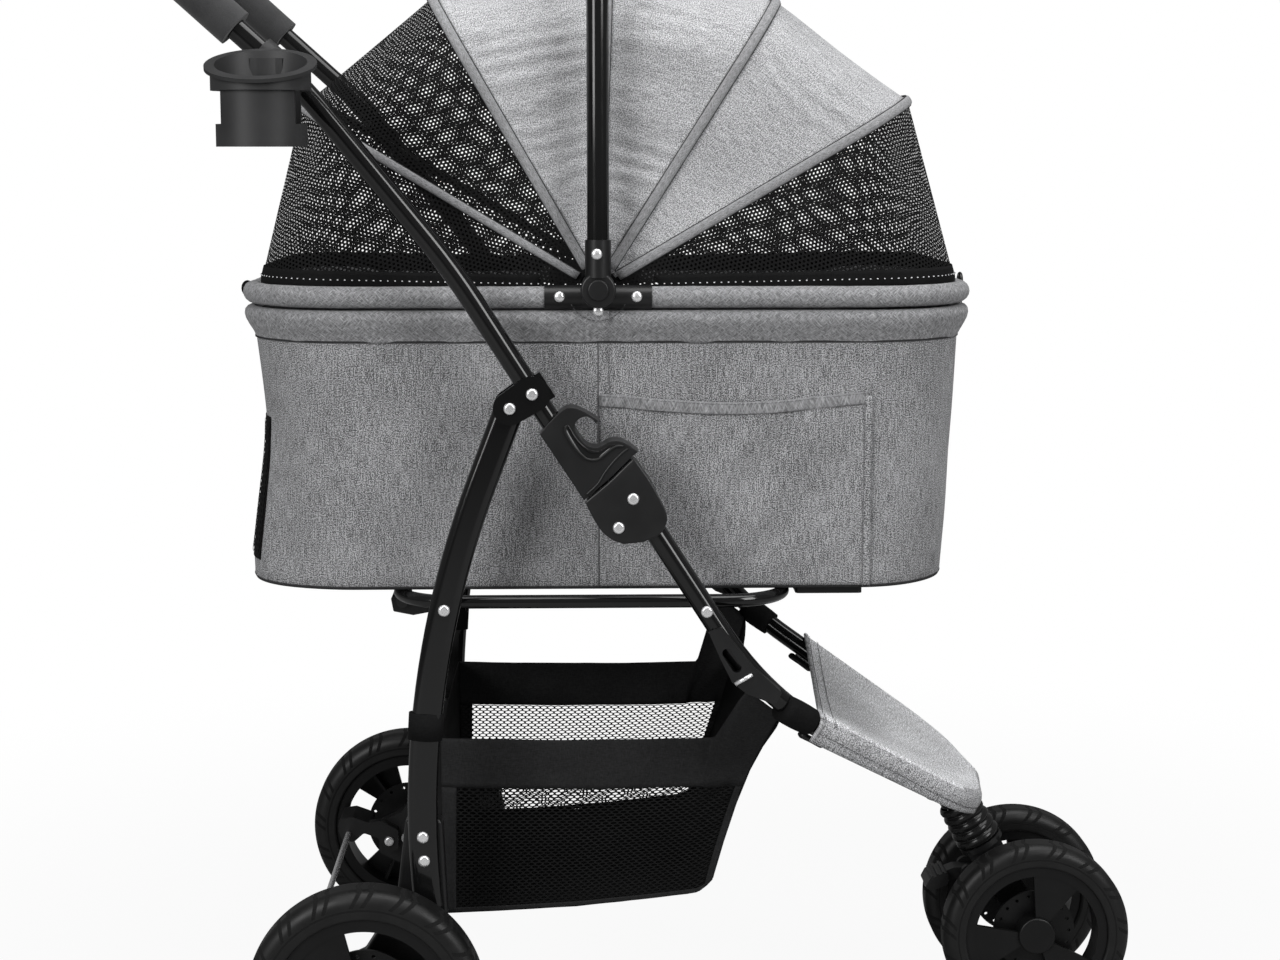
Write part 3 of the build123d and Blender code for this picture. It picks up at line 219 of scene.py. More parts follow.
# Material helpers
def add_node(tree, kind, settings=None, **sockets):
    """Node with its properties set and its sockets linked or filled by name."""
    node = tree.nodes.new(kind)
    for key, value in (settings or {}).items():
        setattr(node, key, value)
    for key, value in sockets.items():
        socket = node.inputs[key.replace("_", " ")]
        if isinstance(value, bpy.types.NodeSocket):
            tree.links.new(value, socket)
        else:
            socket.default_value = value
    return node


def new_material(name, colour, roughness, metallic=0.0, coat=0.0, sheen=0.0, specular=0.5):
    """Material with its plain values set, its tree and its shader."""
    material = bpy.data.materials.new(name)
    material.use_nodes = True
    tree = material.node_tree
    shader = tree.nodes["Principled BSDF"]
    values = {"Base Color": (*colour, 1.0), "Roughness": roughness, "Metallic": metallic, "Coat Weight": coat,
              "Coat Roughness": 0.08, "Sheen Weight": sheen, "Specular IOR Level": specular}
    for socket, value in values.items():
        shader.inputs[socket].default_value = value
    return material, tree, shader


def scaled_noise(tree, vector, scale, detail):
    """Noise on a vector scaled per metre."""
    mapping = add_node(tree, "ShaderNodeMapping", Vector=vector, Scale=scale)
    texture = add_node(tree, "ShaderNodeTexNoise", Vector=mapping.outputs["Vector"], Scale=1.0, Detail=detail)
    return texture.outputs["Fac"]


def cloth_noise(tree, across, along, detail, turn=0.0):
    """Noise on the cloth's own map, with features per metre across and along it, turned in degrees."""
    vector = add_node(tree, "ShaderNodeUVMap", {"uv_map": "cloth"}).outputs["UV"]
    if turn:
        turned = add_node(tree, "ShaderNodeMapping", Vector=vector, Rotation=(0.0, 0.0, radians(turn)))
        vector = turned.outputs["Vector"]
    return scaled_noise(tree, vector, (across, along, 1.0), detail)


def object_noise(tree, scale, detail):
    """Noise in the object's own space, with features per metre as one number or three."""
    vector = add_node(tree, "ShaderNodeTexCoord").outputs["Object"]
    return scaled_noise(tree, vector, scale if isinstance(scale, tuple) else (scale,) * 3, detail)


def combine(tree, operation, first, second):
    """Result of a maths node on two values or numbers."""
    node = tree.nodes.new("ShaderNodeMath")
    node.operation = operation
    for socket, value in zip(node.inputs, (first, second)):
        if isinstance(value, (int, float)):
            socket.default_value = value
        else:
            tree.links.new(value, socket)
    return node.outputs["Value"]


def weighted(tree, terms):
    """Sum of values, each times its weight."""
    total = None
    for value, weight in terms:
        part = combine(tree, "MULTIPLY", value, weight)
        total = part if total is None else combine(tree, "ADD", total, part)
    return total


def colour_by(tree, shader, value, stops, blue=1.03):
    """Colour from a value, by stops of place and grey level."""
    ramp = add_node(tree, "ShaderNodeValToRGB", Fac=value)
    elements = ramp.color_ramp.elements
    while len(elements) < len(stops):
        elements.new(0.5)
    for element, (place, level) in zip(elements, stops):
        element.position = place
        element.color = (*grey(level, blue), 1.0)
    tree.links.new(ramp.outputs["Color"], shader.inputs["Base Color"])


def bump_by(tree, shader, value, depth, strength=1.0):
    """Relief of a depth in millimetres."""
    bump = add_node(tree, "ShaderNodeBump", Strength=strength, Distance=depth * MM, Height=value)
    tree.links.new(bump.outputs["Normal"], shader.inputs["Normal"])


def roughness_by(tree, shader, value, low, high):
    """Roughness between two limits from a value."""
    spread = add_node(tree, "ShaderNodeMapRange", Value=value, To_Min=low, To_Max=high)
    tree.links.new(spread.outputs["Result"], shader.inputs["Roughness"])


def grey(value, blue=1.03):
    """Neutral linear colour a touch cooler than grey."""
    return (value, value * 1.005, value * blue)


# Materials
FINE_WEAVE = 1250.0     # flecks to a metre


def heather_cloth(name, level, spread, slub_run):
    """Two-tone woven cloth: fine flecks, long faint slubs along v of the cloth map and threads across it."""
    material, tree, shader = new_material(name, grey(level), 0.95, sheen=0.1, specular=0.12)
    slub = cloth_noise(tree, FINE_WEAVE, slub_run, 1.0)
    thread = cloth_noise(tree, 0.35 * FINE_WEAVE, FINE_WEAVE, 1.0)
    fleck = cloth_noise(tree, 1.1 * FINE_WEAVE, 0.9 * FINE_WEAVE, 1.0)
    cloud = cloth_noise(tree, 18.0, 12.0, 3.0)
    value = weighted(tree, [(slub, 0.2), (thread, 0.15), (fleck, 0.58), (cloud, 0.07)])
    low, high = level * (1 - spread), level * (1 + spread)
    stops = [(0.36, low * 0.6), (0.46, low * 1.04), (0.54, high * 0.96), (0.66, high * 1.4)]
    colour_by(tree, shader, value, stops)
    bump_by(tree, shader, value, 0.3, 0.5)
    return material


def bias_cloth(name, level, spread):
    """The same cloth cut on the bias for the bands, with short crossing strokes."""
    material, tree, shader = new_material(name, grey(level), 0.95, sheen=0.1, specular=0.12)
    left = cloth_noise(tree, 900.0, 190.0, 2.0, 45.0)
    right = cloth_noise(tree, 190.0, 900.0, 2.0, 45.0)
    fleck = cloth_noise(tree, 1300.0, 1300.0, 1.0)
    value = weighted(tree, [(combine(tree, "MAXIMUM", left, right), 0.8), (fleck, 0.2)])
    low, high = level * (1 - spread), level * (1 + spread)
    stops = [(0.44, low * 0.75), (0.53, level * 0.92), (0.6, level * 1.1), (0.7, high * 1.3)]
    colour_by(tree, shader, value, stops)
    bump_by(tree, shader, value, 0.3, 0.5)
    return material


def gloss_paint(name, level):
    """Glossy paint with a faint orange peel."""
    material, tree, shader = new_material(name, grey(level), 0.12, coat=0.2, specular=0.4)
    roughness_by(tree, shader, object_noise(tree, 60.0, 4.0), 0.07, 0.17)
    bump_by(tree, shader, object_noise(tree, 260.0, 2.0), 0.05, 0.12)
    return material


def moulded_plastic(name, level, low, high, specular=0.38):
    """Moulded plastic with a fine spark-eroded grain and uneven gloss."""
    material, tree, shader = new_material(name, grey(level), (low + high) / 2, specular=specular)
    cloud = object_noise(tree, 45.0, 4.0)
    roughness_by(tree, shader, cloud, low, high)
    colour_by(tree, shader, cloud, [(0.3, level * 0.85), (0.7, level * 1.2)])
    bump_by(tree, shader, object_noise(tree, 900.0, 2.0), 0.06, 0.4)
    return material


def polished_steel(name):
    """Bright steel with faint brushing."""
    material, tree, shader = new_material(name, (0.93, 0.93, 0.94), 0.25, metallic=0.75)
    roughness_by(tree, shader, object_noise(tree, (900.0, 250.0, 900.0), 3.0), 0.18, 0.36)
    return material


def foam_skin(name, level):
    """Closed-cell foam with a fine pitted skin."""
    material, tree, shader = new_material(name, grey(level), 0.85, sheen=0.2, specular=0.25)
    cells = object_noise(tree, 1500.0, 3.0)
    value = weighted(tree, [(cells, 0.6), (object_noise(tree, 70.0, 3.0), 0.4)])
    colour_by(tree, shader, value, [(0.35, level * 0.75), (0.65, level * 1.25)])
    bump_by(tree, shader, cells, 0.25, 0.5)
    return material


def rubber(name, level, low, high):
    """Smooth rubber with a little dust."""
    material, tree, shader = new_material(name, grey(level), (low + high) / 2, specular=0.3)
    dust = object_noise(tree, 80.0, 5.0)
    colour_by(tree, shader, dust, [(0.35, level * 0.8), (0.7, level * 1.35)], blue=1.0)
    roughness_by(tree, shader, dust, low, high)
    bump_by(tree, shader, object_noise(tree, 1200.0, 2.0), 0.08, 0.4)
    return material


# Tread: the two grooves of a pair as shares of it, half the width of one, how it slants over the tyre and
# back with the radius, and the shares of the radius where the shoulder starts and a fine line runs round
GROOVES, GROOVE_HALF, GROOVE_LEAN, GROOVE_BACK = (0.3, 0.58), 0.055, 0.6, 2.2
SHOULDER, LINE_ROUND, LINE_HALF = 0.875, 0.85, 0.008


def tyre_rubber(name, centre, radius, pairs):
    """Tyre rubber with pairs of slanting grooves cut over the shoulder, counted round the axle, with painted
    shade in the grooves.
    """
    level = 0.0045
    material, tree, shader = new_material(name, grey(level), 0.5, specular=0.36)

    def maths(operation, first, second=0.0):
        return combine(tree, operation, first, second)

    def near(value, middle, half):
        return maths("LESS_THAN", maths("ABSOLUTE", maths("SUBTRACT", value, middle)), half)

    dust = object_noise(tree, 80.0, 5.0)
    place = add_node(tree, "ShaderNodeTexCoord").outputs["Object"]
    moved = add_node(tree, "ShaderNodeMapping", Vector=place, Location=[-c * MM for c in centre])
    split = add_node(tree, "ShaderNodeSeparateXYZ", Vector=moved.outputs["Vector"])
    x, y, z = (split.outputs[axis] for axis in "XYZ")
    turn = maths("MULTIPLY", maths("ARCTAN2", z, x), pairs / (2 * pi))
    squares = maths("ADD", maths("MULTIPLY", x, x), maths("MULTIPLY", z, z))
    reach = maths("MULTIPLY", maths("SQRT", squares), 1 / (radius * MM))
    slant = maths("MULTIPLY", maths("ABSOLUTE", y), GROOVE_LEAN / (radius * MM))
    back = maths("MULTIPLY", reach, GROOVE_BACK)
    phase = maths("FRACT", maths("ADD", maths("ADD", turn, slant), back))
    pair = maths("ADD", *(near(phase, groove, GROOVE_HALF) for groove in GROOVES))
    groove = maths("MULTIPLY", pair, maths("GREATER_THAN", reach, SHOULDER))
    cut = maths("MAXIMUM", groove, near(reach, LINE_ROUND, LINE_HALF))
    uncut = maths("SUBTRACT", 1.0, cut)
    value = weighted(tree, [(dust, 0.4), (uncut, 0.6)])
    # Grooves and the fine ring line are painted darker than the tread: painted shade in recesses that are
    # only bump.
    colour_by(tree, shader, value, [(0.2, level * 0.4), (0.75, level * 0.9), (0.9, level * 1.5)], blue=1.0)
    roughness_by(tree, shader, weighted(tree, [(dust, 0.3), (cut, 0.7)]), 0.36, 1.0)
    bump_by(tree, shader, uncut, 3.0)
    return material


def plain_weave(name, level, rough=0.85):
    """Nylon weave: fine crossing threads."""
    material, tree, shader = new_material(name, grey(level), rough, specular=0.12)
    warp = object_noise(tree, (300.0, 300.0, 1800.0), 2.0)
    weft = object_noise(tree, (1800.0, 1800.0, 300.0), 2.0)
    value = weighted(tree, [(warp, 0.4), (weft, 0.4), (object_noise(tree, 30.0, 3.0), 0.2)])
    colour_by(tree, shader, value, [(0.38, level * 0.7), (0.62, level * 1.4)])
    bump_by(tree, shader, value, 0.2, 0.4)
    return material


CANOPY_CLOTH = heather_cloth("canopy_heather", 0.39, 0.4, 90.0)
BASKET_CLOTH = heather_cloth("basket_heather", 0.25, 0.62, 75.0)
BAND_CLOTH = bias_cloth("band_bias_heather", 0.27, 0.3)
PIPING_CLOTH = bias_cloth("piping_bias_heather", 0.29, 0.22)
# The cover cloth and the darker copy below it are lit and shaded copies of one cloth; the darker copy is
# painted shade.
COVER_CLOTH = heather_cloth("cover_heather", 0.61, 0.7, 120.0)
COVER_SHADED_CLOTH = heather_cloth("cover_shaded_heather", 0.37, 0.75, 120.0)
LINING_CLOTH = plain_weave("lining_weave", 0.06)
BLACK_CLOTH = plain_weave("black_nylon", 0.006)
HEM_CLOTH = plain_weave("hem_nylon", 0.017)
# seam_shadow: painted seam shadow for dark ribbons under the piping and along the band's seam and the wall's
# foot.
SEAM_SHADE = plain_weave("seam_shadow", 0.035)
SEAM_SOFT = plain_weave("seam_soft_shadow", 0.13)
NET_BLACK = plain_weave("knit_net", 0.007, 0.75)
THREAD_DARK = plain_weave("thread_dark", 0.085)
THREAD_PALE = plain_weave("thread_pale", 0.75)
TUBE_BLACK = gloss_paint("gloss_black_tube", 0.005)
PLASTIC = moulded_plastic("black_plastic", 0.010, 0.28, 0.42)
WHEEL_PLASTIC = moulded_plastic("wheel_plastic", 0.0045, 0.3, 0.42, specular=0.27)
CUP_PLASTIC = moulded_plastic("cup_plastic", 0.024, 0.42, 0.58)
STEEL = polished_steel("polished_steel")
FOAM = foam_skin("grip_foam", 0.04)
GAITER = rubber("gaiter_rubber", 0.010, 0.14, 0.26)

NODE_FINISH = {
    TUBE_BLACK: ["front_leg_right", "front_leg_left", "handle_tube", "rear_leg_right", "rear_leg_left",
                 "seat_loop", "carry_handle", "canopy_ring", "leg_brackets"],
    PLASTIC: ["leg_gussets", "fold_shells", "front_housing", "carrier_latch", "fold_slider_right",
              "fold_slider_left", "brake_housings", "brake_pedals", "caster_stem", "caster_fork",
              "front_lock_lever", "handle_hubs", "carry_sockets", "hub_button_right", "hub_button_left",
              "base_rails"] + [f"canopy_bow_{name}" for name in BOWS],
    CUP_PLASTIC: ["cup_holder"],
    STEEL: ["frame_rivets", "loop_pivot_pins", "handle_rivets", "leg_rivets", "rear_axles", "front_axle",
            "brake_rod"],
    WHEEL_PLASTIC: [f"{end}_wheel_rim_{side}" for end in ("rear", "front") for side in ("right", "left")],
    FOAM: ["handle_grip"],
    LINING_CLOTH: ["base_board"],
}
# For each pair of wheels: place along X, half track, radius, and pairs of grooves round a tyre
WHEELS = {"rear": (-258.0, 224.0, 87.5, 17), "front": (266.0, 50.0, 75.0, 15)}


def finish_node(name, material):
    """Give one solid its material."""
    nodes[name].data.materials.clear()
    nodes[name].data.materials.append(material)


def finish_nodes():
    """Give every solid that stays in view its material."""
    for finish, names in NODE_FINISH.items():
        for name in names:
            finish_node(name, finish)
    for end, (x, track, radius, pairs) in WHEELS.items():
        for side, sign in (("right", -1), ("left", 1)):
            centre = (x, sign * track, radius)
            tread = tyre_rubber(f"tyre_{end}_{side}", centre, radius, pairs)
            finish_node(f"{end}_wheel_tyre_{side}", tread)


# Geometry Nodes trees
def new_tree(name, inputs):
    """Empty geometry tree with named inputs and its two end nodes."""
    tree = bpy.data.node_groups.new(name, "GeometryNodeTree")
    tree.interface.new_socket("Geometry", in_out="INPUT", socket_type="NodeSocketGeometry")
    for label, kind in inputs:
        tree.interface.new_socket(label, in_out="INPUT", socket_type=kind)
    tree.interface.new_socket("Geometry", in_out="OUTPUT", socket_type="NodeSocketGeometry")
    return tree, tree.nodes.new("NodeGroupInput"), tree.nodes.new("NodeGroupOutput")


def close_tree(tree, result, end, material):
    """Realize instances, set the material and end the tree."""
    real = add_node(tree, "GeometryNodeRealizeInstances", Geometry=result)
    painted = add_node(tree, "GeometryNodeSetMaterial", Geometry=real.outputs[0], Material=material)
    tree.links.new(painted.outputs[0], end.inputs[0])


def run_tree(piece, tree, values):
    """Run a geometry tree on an object with inputs by name and keep the plain mesh."""
    modifier = piece.modifiers.new(tree.name, "NODES")
    modifier.node_group = tree
    for item in tree.interface.items_tree:
        if item.in_out == "INPUT" and item.name in values:
            modifier[item.identifier] = values[item.name]
    return evaluated(piece)


def net_tree():
    """Flat net: a staggered grid turned into six-sided cells, each opened by a hole."""
    tree, start, end = new_tree("knit_net", [("Columns", "NodeSocketInt"), ("Rows", "NodeSocketInt"),
                                             ("Pitch", "NodeSocketFloat"), ("Hole", "NodeSocketFloat"),
                                             ("Fade", "NodeSocketFloat"), ("Material", "NodeSocketMaterial")])

    def maths(operation, first, second):
        return combine(tree, operation, first, second)

    columns, rows, pitch = (start.outputs[label] for label in ("Columns", "Rows", "Pitch"))
    row_step = maths("MULTIPLY", pitch, sqrt(0.75))
    wide = maths("MULTIPLY", maths("SUBTRACT", columns, 1.0), pitch)
    tall = maths("MULTIPLY", maths("SUBTRACT", rows, 1.0), row_step)
    sheet = add_node(tree, "GeometryNodeMeshGrid", Size_X=wide, Size_Y=tall, Vertices_X=columns,
                     Vertices_Y=rows)
    position = add_node(tree, "GeometryNodeInputPosition").outputs[0]
    place = add_node(tree, "ShaderNodeSeparateXYZ", Vector=position)
    from_low = maths("ADD", place.outputs["Y"], maths("MULTIPLY", tall, 0.5))
    row = maths("ROUND", maths("DIVIDE", from_low, row_step), 0.0)
    odd = maths("MODULO", row, 2.0)
    shift = add_node(tree, "ShaderNodeCombineXYZ", X=maths("MULTIPLY", odd, maths("MULTIPLY", pitch, 0.5)))
    staggered = add_node(tree, "GeometryNodeSetPosition", Geometry=sheet.outputs["Mesh"],
                         Offset=shift.outputs[0])
    thirds = add_node(tree, "GeometryNodeTriangulate", Mesh=staggered.outputs[0])
    cells = add_node(tree, "GeometryNodeDualMesh", Mesh=thirds.outputs[0])
    rings = add_node(tree, "GeometryNodeExtrudeMesh", {"mode": "FACES"}, Mesh=cells.outputs[0],
                     Offset_Scale=0.0)
    from_end = maths("ADD", place.outputs["X"], maths("MULTIPLY", wide, 0.5))
    opened = maths("ADD", maths("DIVIDE", from_end, start.outputs["Fade"]), 0.2)
    scale = maths("MULTIPLY", start.outputs["Hole"], maths("MINIMUM", opened, 1.0))
    holes = add_node(tree, "GeometryNodeScaleElements", Geometry=rings.outputs["Mesh"],
                     Selection=rings.outputs["Top"], Scale=scale)
    open_net = add_node(tree, "GeometryNodeDeleteGeometry", {"domain": "FACE"}, Geometry=holes.outputs[0],
                        Selection=rings.outputs["Top"])
    close_tree(tree, open_net.outputs[0], end, start.outputs["Material"])
    return tree


def stitch_tree():
    """Row of rounded stitches along a curve."""
    inputs = [(label, "NodeSocketFloat") for label in ("Pitch", "Length", "Width")]
    tree, start, end = new_tree("stitch_row", inputs + [("Material", "NodeSocketMaterial")])
    row = add_node(tree, "GeometryNodeCurveToPoints", {"mode": "LENGTH"}, Curve=start.outputs["Geometry"],
                   Length=start.outputs["Pitch"])
    ball = add_node(tree, "GeometryNodeMeshUVSphere", Segments=8, Rings=5, Radius=0.5)
    size = add_node(tree, "ShaderNodeCombineXYZ", X=start.outputs["Width"], Y=start.outputs["Width"],
                    Z=start.outputs["Length"])
    stitches = add_node(tree, "GeometryNodeInstanceOnPoints", Points=row.outputs["Points"],
                        Instance=ball.outputs["Mesh"], Rotation=row.outputs["Rotation"],
                        Scale=size.outputs[0])
    close_tree(tree, stitches.outputs[0], end, start.outputs["Material"])
    return tree


def rivet_tree():
    """Domed rivet head on every point, its axis along Y."""
    inputs = [(label, "NodeSocketFloat") for label in ("Radius", "Rise")]
    tree, start, end = new_tree("rivet_heads", inputs + [("Material", "NodeSocketMaterial")])
    dome = add_node(tree, "GeometryNodeMeshUVSphere", Segments=32, Rings=16, Radius=1.0)
    soft = add_node(tree, "GeometryNodeSetShadeSmooth", Geometry=dome.outputs["Mesh"])
    size = add_node(tree, "ShaderNodeCombineXYZ", X=start.outputs["Radius"], Y=start.outputs["Rise"],
                    Z=start.outputs["Radius"])
    points = add_node(tree, "GeometryNodeMeshToPoints", Mesh=start.outputs["Geometry"])
    heads = add_node(tree, "GeometryNodeInstanceOnPoints", Points=points.outputs[0], Instance=soft.outputs[0],
                     Scale=size.outputs[0])
    close_tree(tree, heads.outputs[0], end, start.outputs["Material"])
    return tree


NET_TREE = net_tree()
STITCH_TREE = stitch_tree()
RIVET_TREE = rivet_tree()


def flat_net(wide, tall, pitch, hole, fade=1.0, flat=1.0):
    """Bmesh of a flat net round the origin, in millimetres.

    Holes are smaller within the fade of its first end, and cells are flattened by a factor.
    """
    columns, rows = int(wide / pitch) + 2, int(tall / (flat * pitch * sqrt(0.75))) + 2
    holder = make_piece("net_maker", [(0, 0, 0)], [], NET_BLACK, None)
    mesh = run_tree(holder, NET_TREE, {"Columns": columns, "Rows": rows, "Pitch": pitch, "Hole": hole,
                                       "Fade": fade, "Material": NET_BLACK})
    bpy.data.objects.remove(holder)
    net = bmesh.new()
    net.from_mesh(mesh)
    bmesh.ops.scale(net, vec=(1, flat, 1), verts=net.verts[:])
    return net


def clip_net(net, edge, outward):
    """Cut a flat net along a line through a point, away from the outward side."""
    geometry = net.verts[:] + net.edges[:] + net.faces[:]
    bmesh.ops.bisect_plane(net, geom=geometry, plane_co=(*edge, 0), plane_no=(*outward, 0),
                           clear_outer=True)


def net_piece(name, nets, body):
    """Object from placed nets, in millimetres."""
    return make_piece(name, *joined(nets), NET_BLACK, body, smooth=False)


def net_lists(net, place):
    """Points and faces of a flat net with every point placed by a rule."""
    net.verts.index_update()
    points = [tuple(place(v.co.x, v.co.y)) for v in net.verts]
    return points, [tuple(v.index for v in f.verts) for f in net.faces]


def stitches(name, rows, body, pitch, length, width, material=THREAD_DARK):
    """Stitch rows along lists of points, as one piece."""
    curve = bpy.data.curves.new(name, "CURVE")
    curve.dimensions = "3D"
    for row in rows:
        spline = curve.splines.new("POLY")
        spline.points.add(len(row) - 1)
        for point, place in zip(spline.points, row):
            point.co = (place[0] * MM, place[1] * MM, place[2] * MM, 1.0)
    line = add_object(name + "_line", curve)
    mesh = run_tree(line, STITCH_TREE, {"Pitch": pitch * MM, "Length": length * MM, "Width": width * MM,
                                        "Material": material})
    bpy.data.objects.remove(line)
    piece = add_object(name, mesh)
    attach(piece, body)
    return piece


def rivets(name, places, body, radius, rise):
    """Rivet heads on points, as one piece."""
    piece = make_piece(name, places, [], STEEL, None)
    piece.data = run_tree(piece, RIVET_TREE, {"Radius": radius * MM, "Rise": rise * MM, "Material": STEEL})
    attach(piece, body)
    return piece


# Canopy
EYE = 15.0                          # run round each hub that the cloth leaves clear
NET_PITCH, NET_HOLE = 3.3, 0.53     # cells of the net and the open share of each
NET_START, NET_FADE = 14.0, 75.0    # where the net starts, and the run over which its holes open
PIPING_HALF, PIPING_HALF_REAR, PIPING_START = 3.5, 2.9, 17.0
BLEND_RUN = 200.0                   # run along the hoops at which fan_blend works out a point on each


def hoop_length(reach):
    """Run of a hoop from the hub axis to the middle of its top."""
    return reach - CANOPY_CORNER + CANOPY_CORNER * pi / 2 + CANOPY_HALF - CANOPY_CORNER


def hoop_point(bow, run, lift=0.0):
    """Point on a hoop, lifted outwards, a run from the hub along its right side and over to the left."""
    angle, reach = bow
    length = hoop_length(reach)
    mirror = run > length
    along = 2 * length - run if mirror else run
    side = reach - CANOPY_CORNER
    turn = clamp((along - side) / CANOPY_CORNER, 0.0, pi / 2)
    rho = min(along, side) + (CANOPY_CORNER + lift) * sin(turn)
    y = -CANOPY_HALF + CANOPY_CORNER - (CANOPY_CORNER + lift) * cos(turn)
    y += max(along - side - CANOPY_CORNER * pi / 2, 0.0)
    a = radians(angle)
    return Vector((HUB_X + rho * cos(a), -y if mirror else y, HUB_Z + rho * sin(a)))


def between(first, second, share, run_share, lift):
    """Point of the sheet between two hoops."""
    places = []
    for bow in (first, second):
        length = hoop_length(bow[1])
        places.append(hoop_point(bow, EYE + run_share * (2 * length - 2 * EYE), lift))
    return places[0].lerp(places[1], share)


def fan_blend(piece, first, second, first_body, second_body):
    """Bake a sheet's placement into its mesh; a point on each hoop at the blend run is worked out and not
    used.
    """
    hoop_point(first, BLEND_RUN) * MM
    hoop_point(second, BLEND_RUN) * MM
    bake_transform(piece)


def canopy_cloth(name, node, first, second, bodies, seed):
    """Cloth sheet between two hoops with soft cross folds."""
    rows, columns = 420, 17
    length, reach = hoop_length(first[1]), max(first[1], second[1])
    points, uvs = [], []
    for run_share in evenly(0.0, 1.0, rows):
        run = EYE + run_share * 2 * (length - EYE)
        spread = min(run, 2 * length - run, first[1]) * radians(abs(first[0] - second[0]))
        for share in evenly(0.0, 1.0, columns):
            middle = sin(pi * share)
            fold = soft_noise(run / 30.0 + share * 0.5, share * 0.5, seed) * 2.4
            shift = 5.0 * soft_noise(run / 45.0, share * 1.5, seed + 3.0)
            strength = max(0.0, 0.5 + 1.1 * soft_noise(run / 70.0, share * 1.2, seed + 7.0))
            fold += 1.5 * strength * (0.4 + 0.6 * abs(2 * share - 1)) * sin(run / 2.6 + shift)
            slack = -1.6 * middle
            points.append(between(first, second, share, run_share, middle ** 0.7 * fold + slack))
            uvs.append((run, (share - 0.5) * spread))
    piece = make_piece(name, points, grid_faces(rows, columns), CANOPY_CLOTH, None, uvs)
    face_outwards(piece, (HUB_X, 0, HUB_Z))
    thicken(piece, LIGHT_CLOTH)
    fan_blend(piece, first, second, *bodies)
    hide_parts(node)


def canopy_net(name, node, first, second, bodies):
    """Net between two hoops, cut as two flat wedges that meet over the top."""
    reach = max(hoop_length(first[1]), hoop_length(second[1]))
    half = radians(abs(first[0] - second[0])) / 2
    net = flat_net(reach, 2 * reach * sin(half), NET_PITCH, NET_HOLE, NET_FADE)
    bmesh.ops.translate(net, vec=(reach / 2, 0, 0), verts=net.verts[:])
    for sign in (1, -1):
        clip_net(net, (0, 0), (-sin(half), sign * cos(half)))
    clip_net(net, (NET_START, 0), (-1, 0))

    def place(x, y, left):
        seed = 5.0 if left else 1.0
        share = 0.5 + atan2(y, x) / (2 * half)
        run = hypot(x, y) + 1.6 * soft_noise(x / 38.0, y / 38.0, seed)
        pull = 1.6 * soft_noise(x / 34.0, y / 34.0, seed + 9.0) / (2 * half * max(run, 30.0))
        share = clamp(share + pull * min(4 * share * (1 - share), 1.0))
        ends = [hoop_point(bow, min(run, hoop_length(bow[1]))) for bow in (first, second)]
        point = ends[0].lerp(ends[1], share)
        bulge = 1.5 * sin(pi * share) * min(run / 120.0, 1.0)
        point.y -= bulge if run < reach * 0.6 else 0.0
        return (point.x, -point.y if left else point.y, point.z)

    right = net_lists(net, lambda x, y: place(x, y, False))
    left = net_lists(net, lambda x, y: place(x, y, True))
    net.free()
    piece = net_piece(name, [right, (left[0], reversed_faces(left[1]))], None)
    if bodies[0] == bodies[1]:
        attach(piece, bodies[0])
    else:
        fan_blend(piece, first, second, *bodies)
    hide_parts(node)


def hoop_runs(bow, start):
    """Runs along a hoop from one hub to the other, clear of both by a start."""
    return evenly(start, 2 * hoop_length(bow[1]) - start, 120)


def piping(name, bow, body):
    """Flat cloth piping over a bow, with a dark ribbon under it that shows on both sides as painted seam
    shadow.
    """
    angle = radians(bow[0])
    across = Vector((-sin(angle), 0, cos(angle)))
    half = PIPING_HALF_REAR if name.endswith("rear") else PIPING_HALF
    runs, count = hoop_runs(bow, PIPING_START), 14
    path = [hoop_point(bow, run, 1.3) for run in runs]
    ahead = path[1:] + [path[-1] * 2 - path[-2]]
    up = [across.cross(b - a) for a, b in zip(path, ahead)]
    points, faces = sweep(path, ellipse(half, 1.5, count), up=up)
    uvs = [(run, half * k) for run in runs for k in range(count)]
    piece = make_piece(name, points, faces, PIPING_CLOTH, body, uvs)
    ribbon = []
    for run in runs:
        ribbon += [hoop_point(bow, run, 0.7) + across * side * (half + 0.6) for side in (1, -1)]
    seam = make_piece(name + "_seam", ribbon, grid_faces(len(runs), 2), SEAM_SHADE, body)
    thicken(seam, SEAM_TAPE, 0.0)


def canopy():
    """Nets and cloth sheets from the back of the ring over the bows to its front, and the piping."""
    order = [("ring_back", RING_BACK)] + list(BOWS.items()) + [("ring_front", RING_FRONT)]
    bodies = [BOW_BODY.get(name, "carrier") for name, bow in order]
    bows = [bow for name, bow in order]
    canopy_net("rear_net_lower", "rear_mesh_lower", bows[0], bows[1], ("carrier", "carrier"))
    canopy_net("rear_net_upper", "rear_mesh_upper", bows[1], bows[2], bodies[1:3])
    canopy_cloth("canopy_sheet_rear", "canopy_cloth_rear", bows[2], bows[3], bodies[2:4], 1.3)
    canopy_cloth("canopy_sheet_middle", "canopy_cloth_middle", bows[3], bows[4], bodies[3:5], 5.1)
    canopy_cloth("canopy_sheet_front", "canopy_cloth_front", bows[4], bows[5], bodies[4:6], 9.7)
    canopy_net("front_net", "front_mesh", bows[5], bows[6], ("bow_front", "bow_front"))
    for name, bow in BOWS.items():
        piping(f"piping_{name}", bow, BOW_BODY[name])


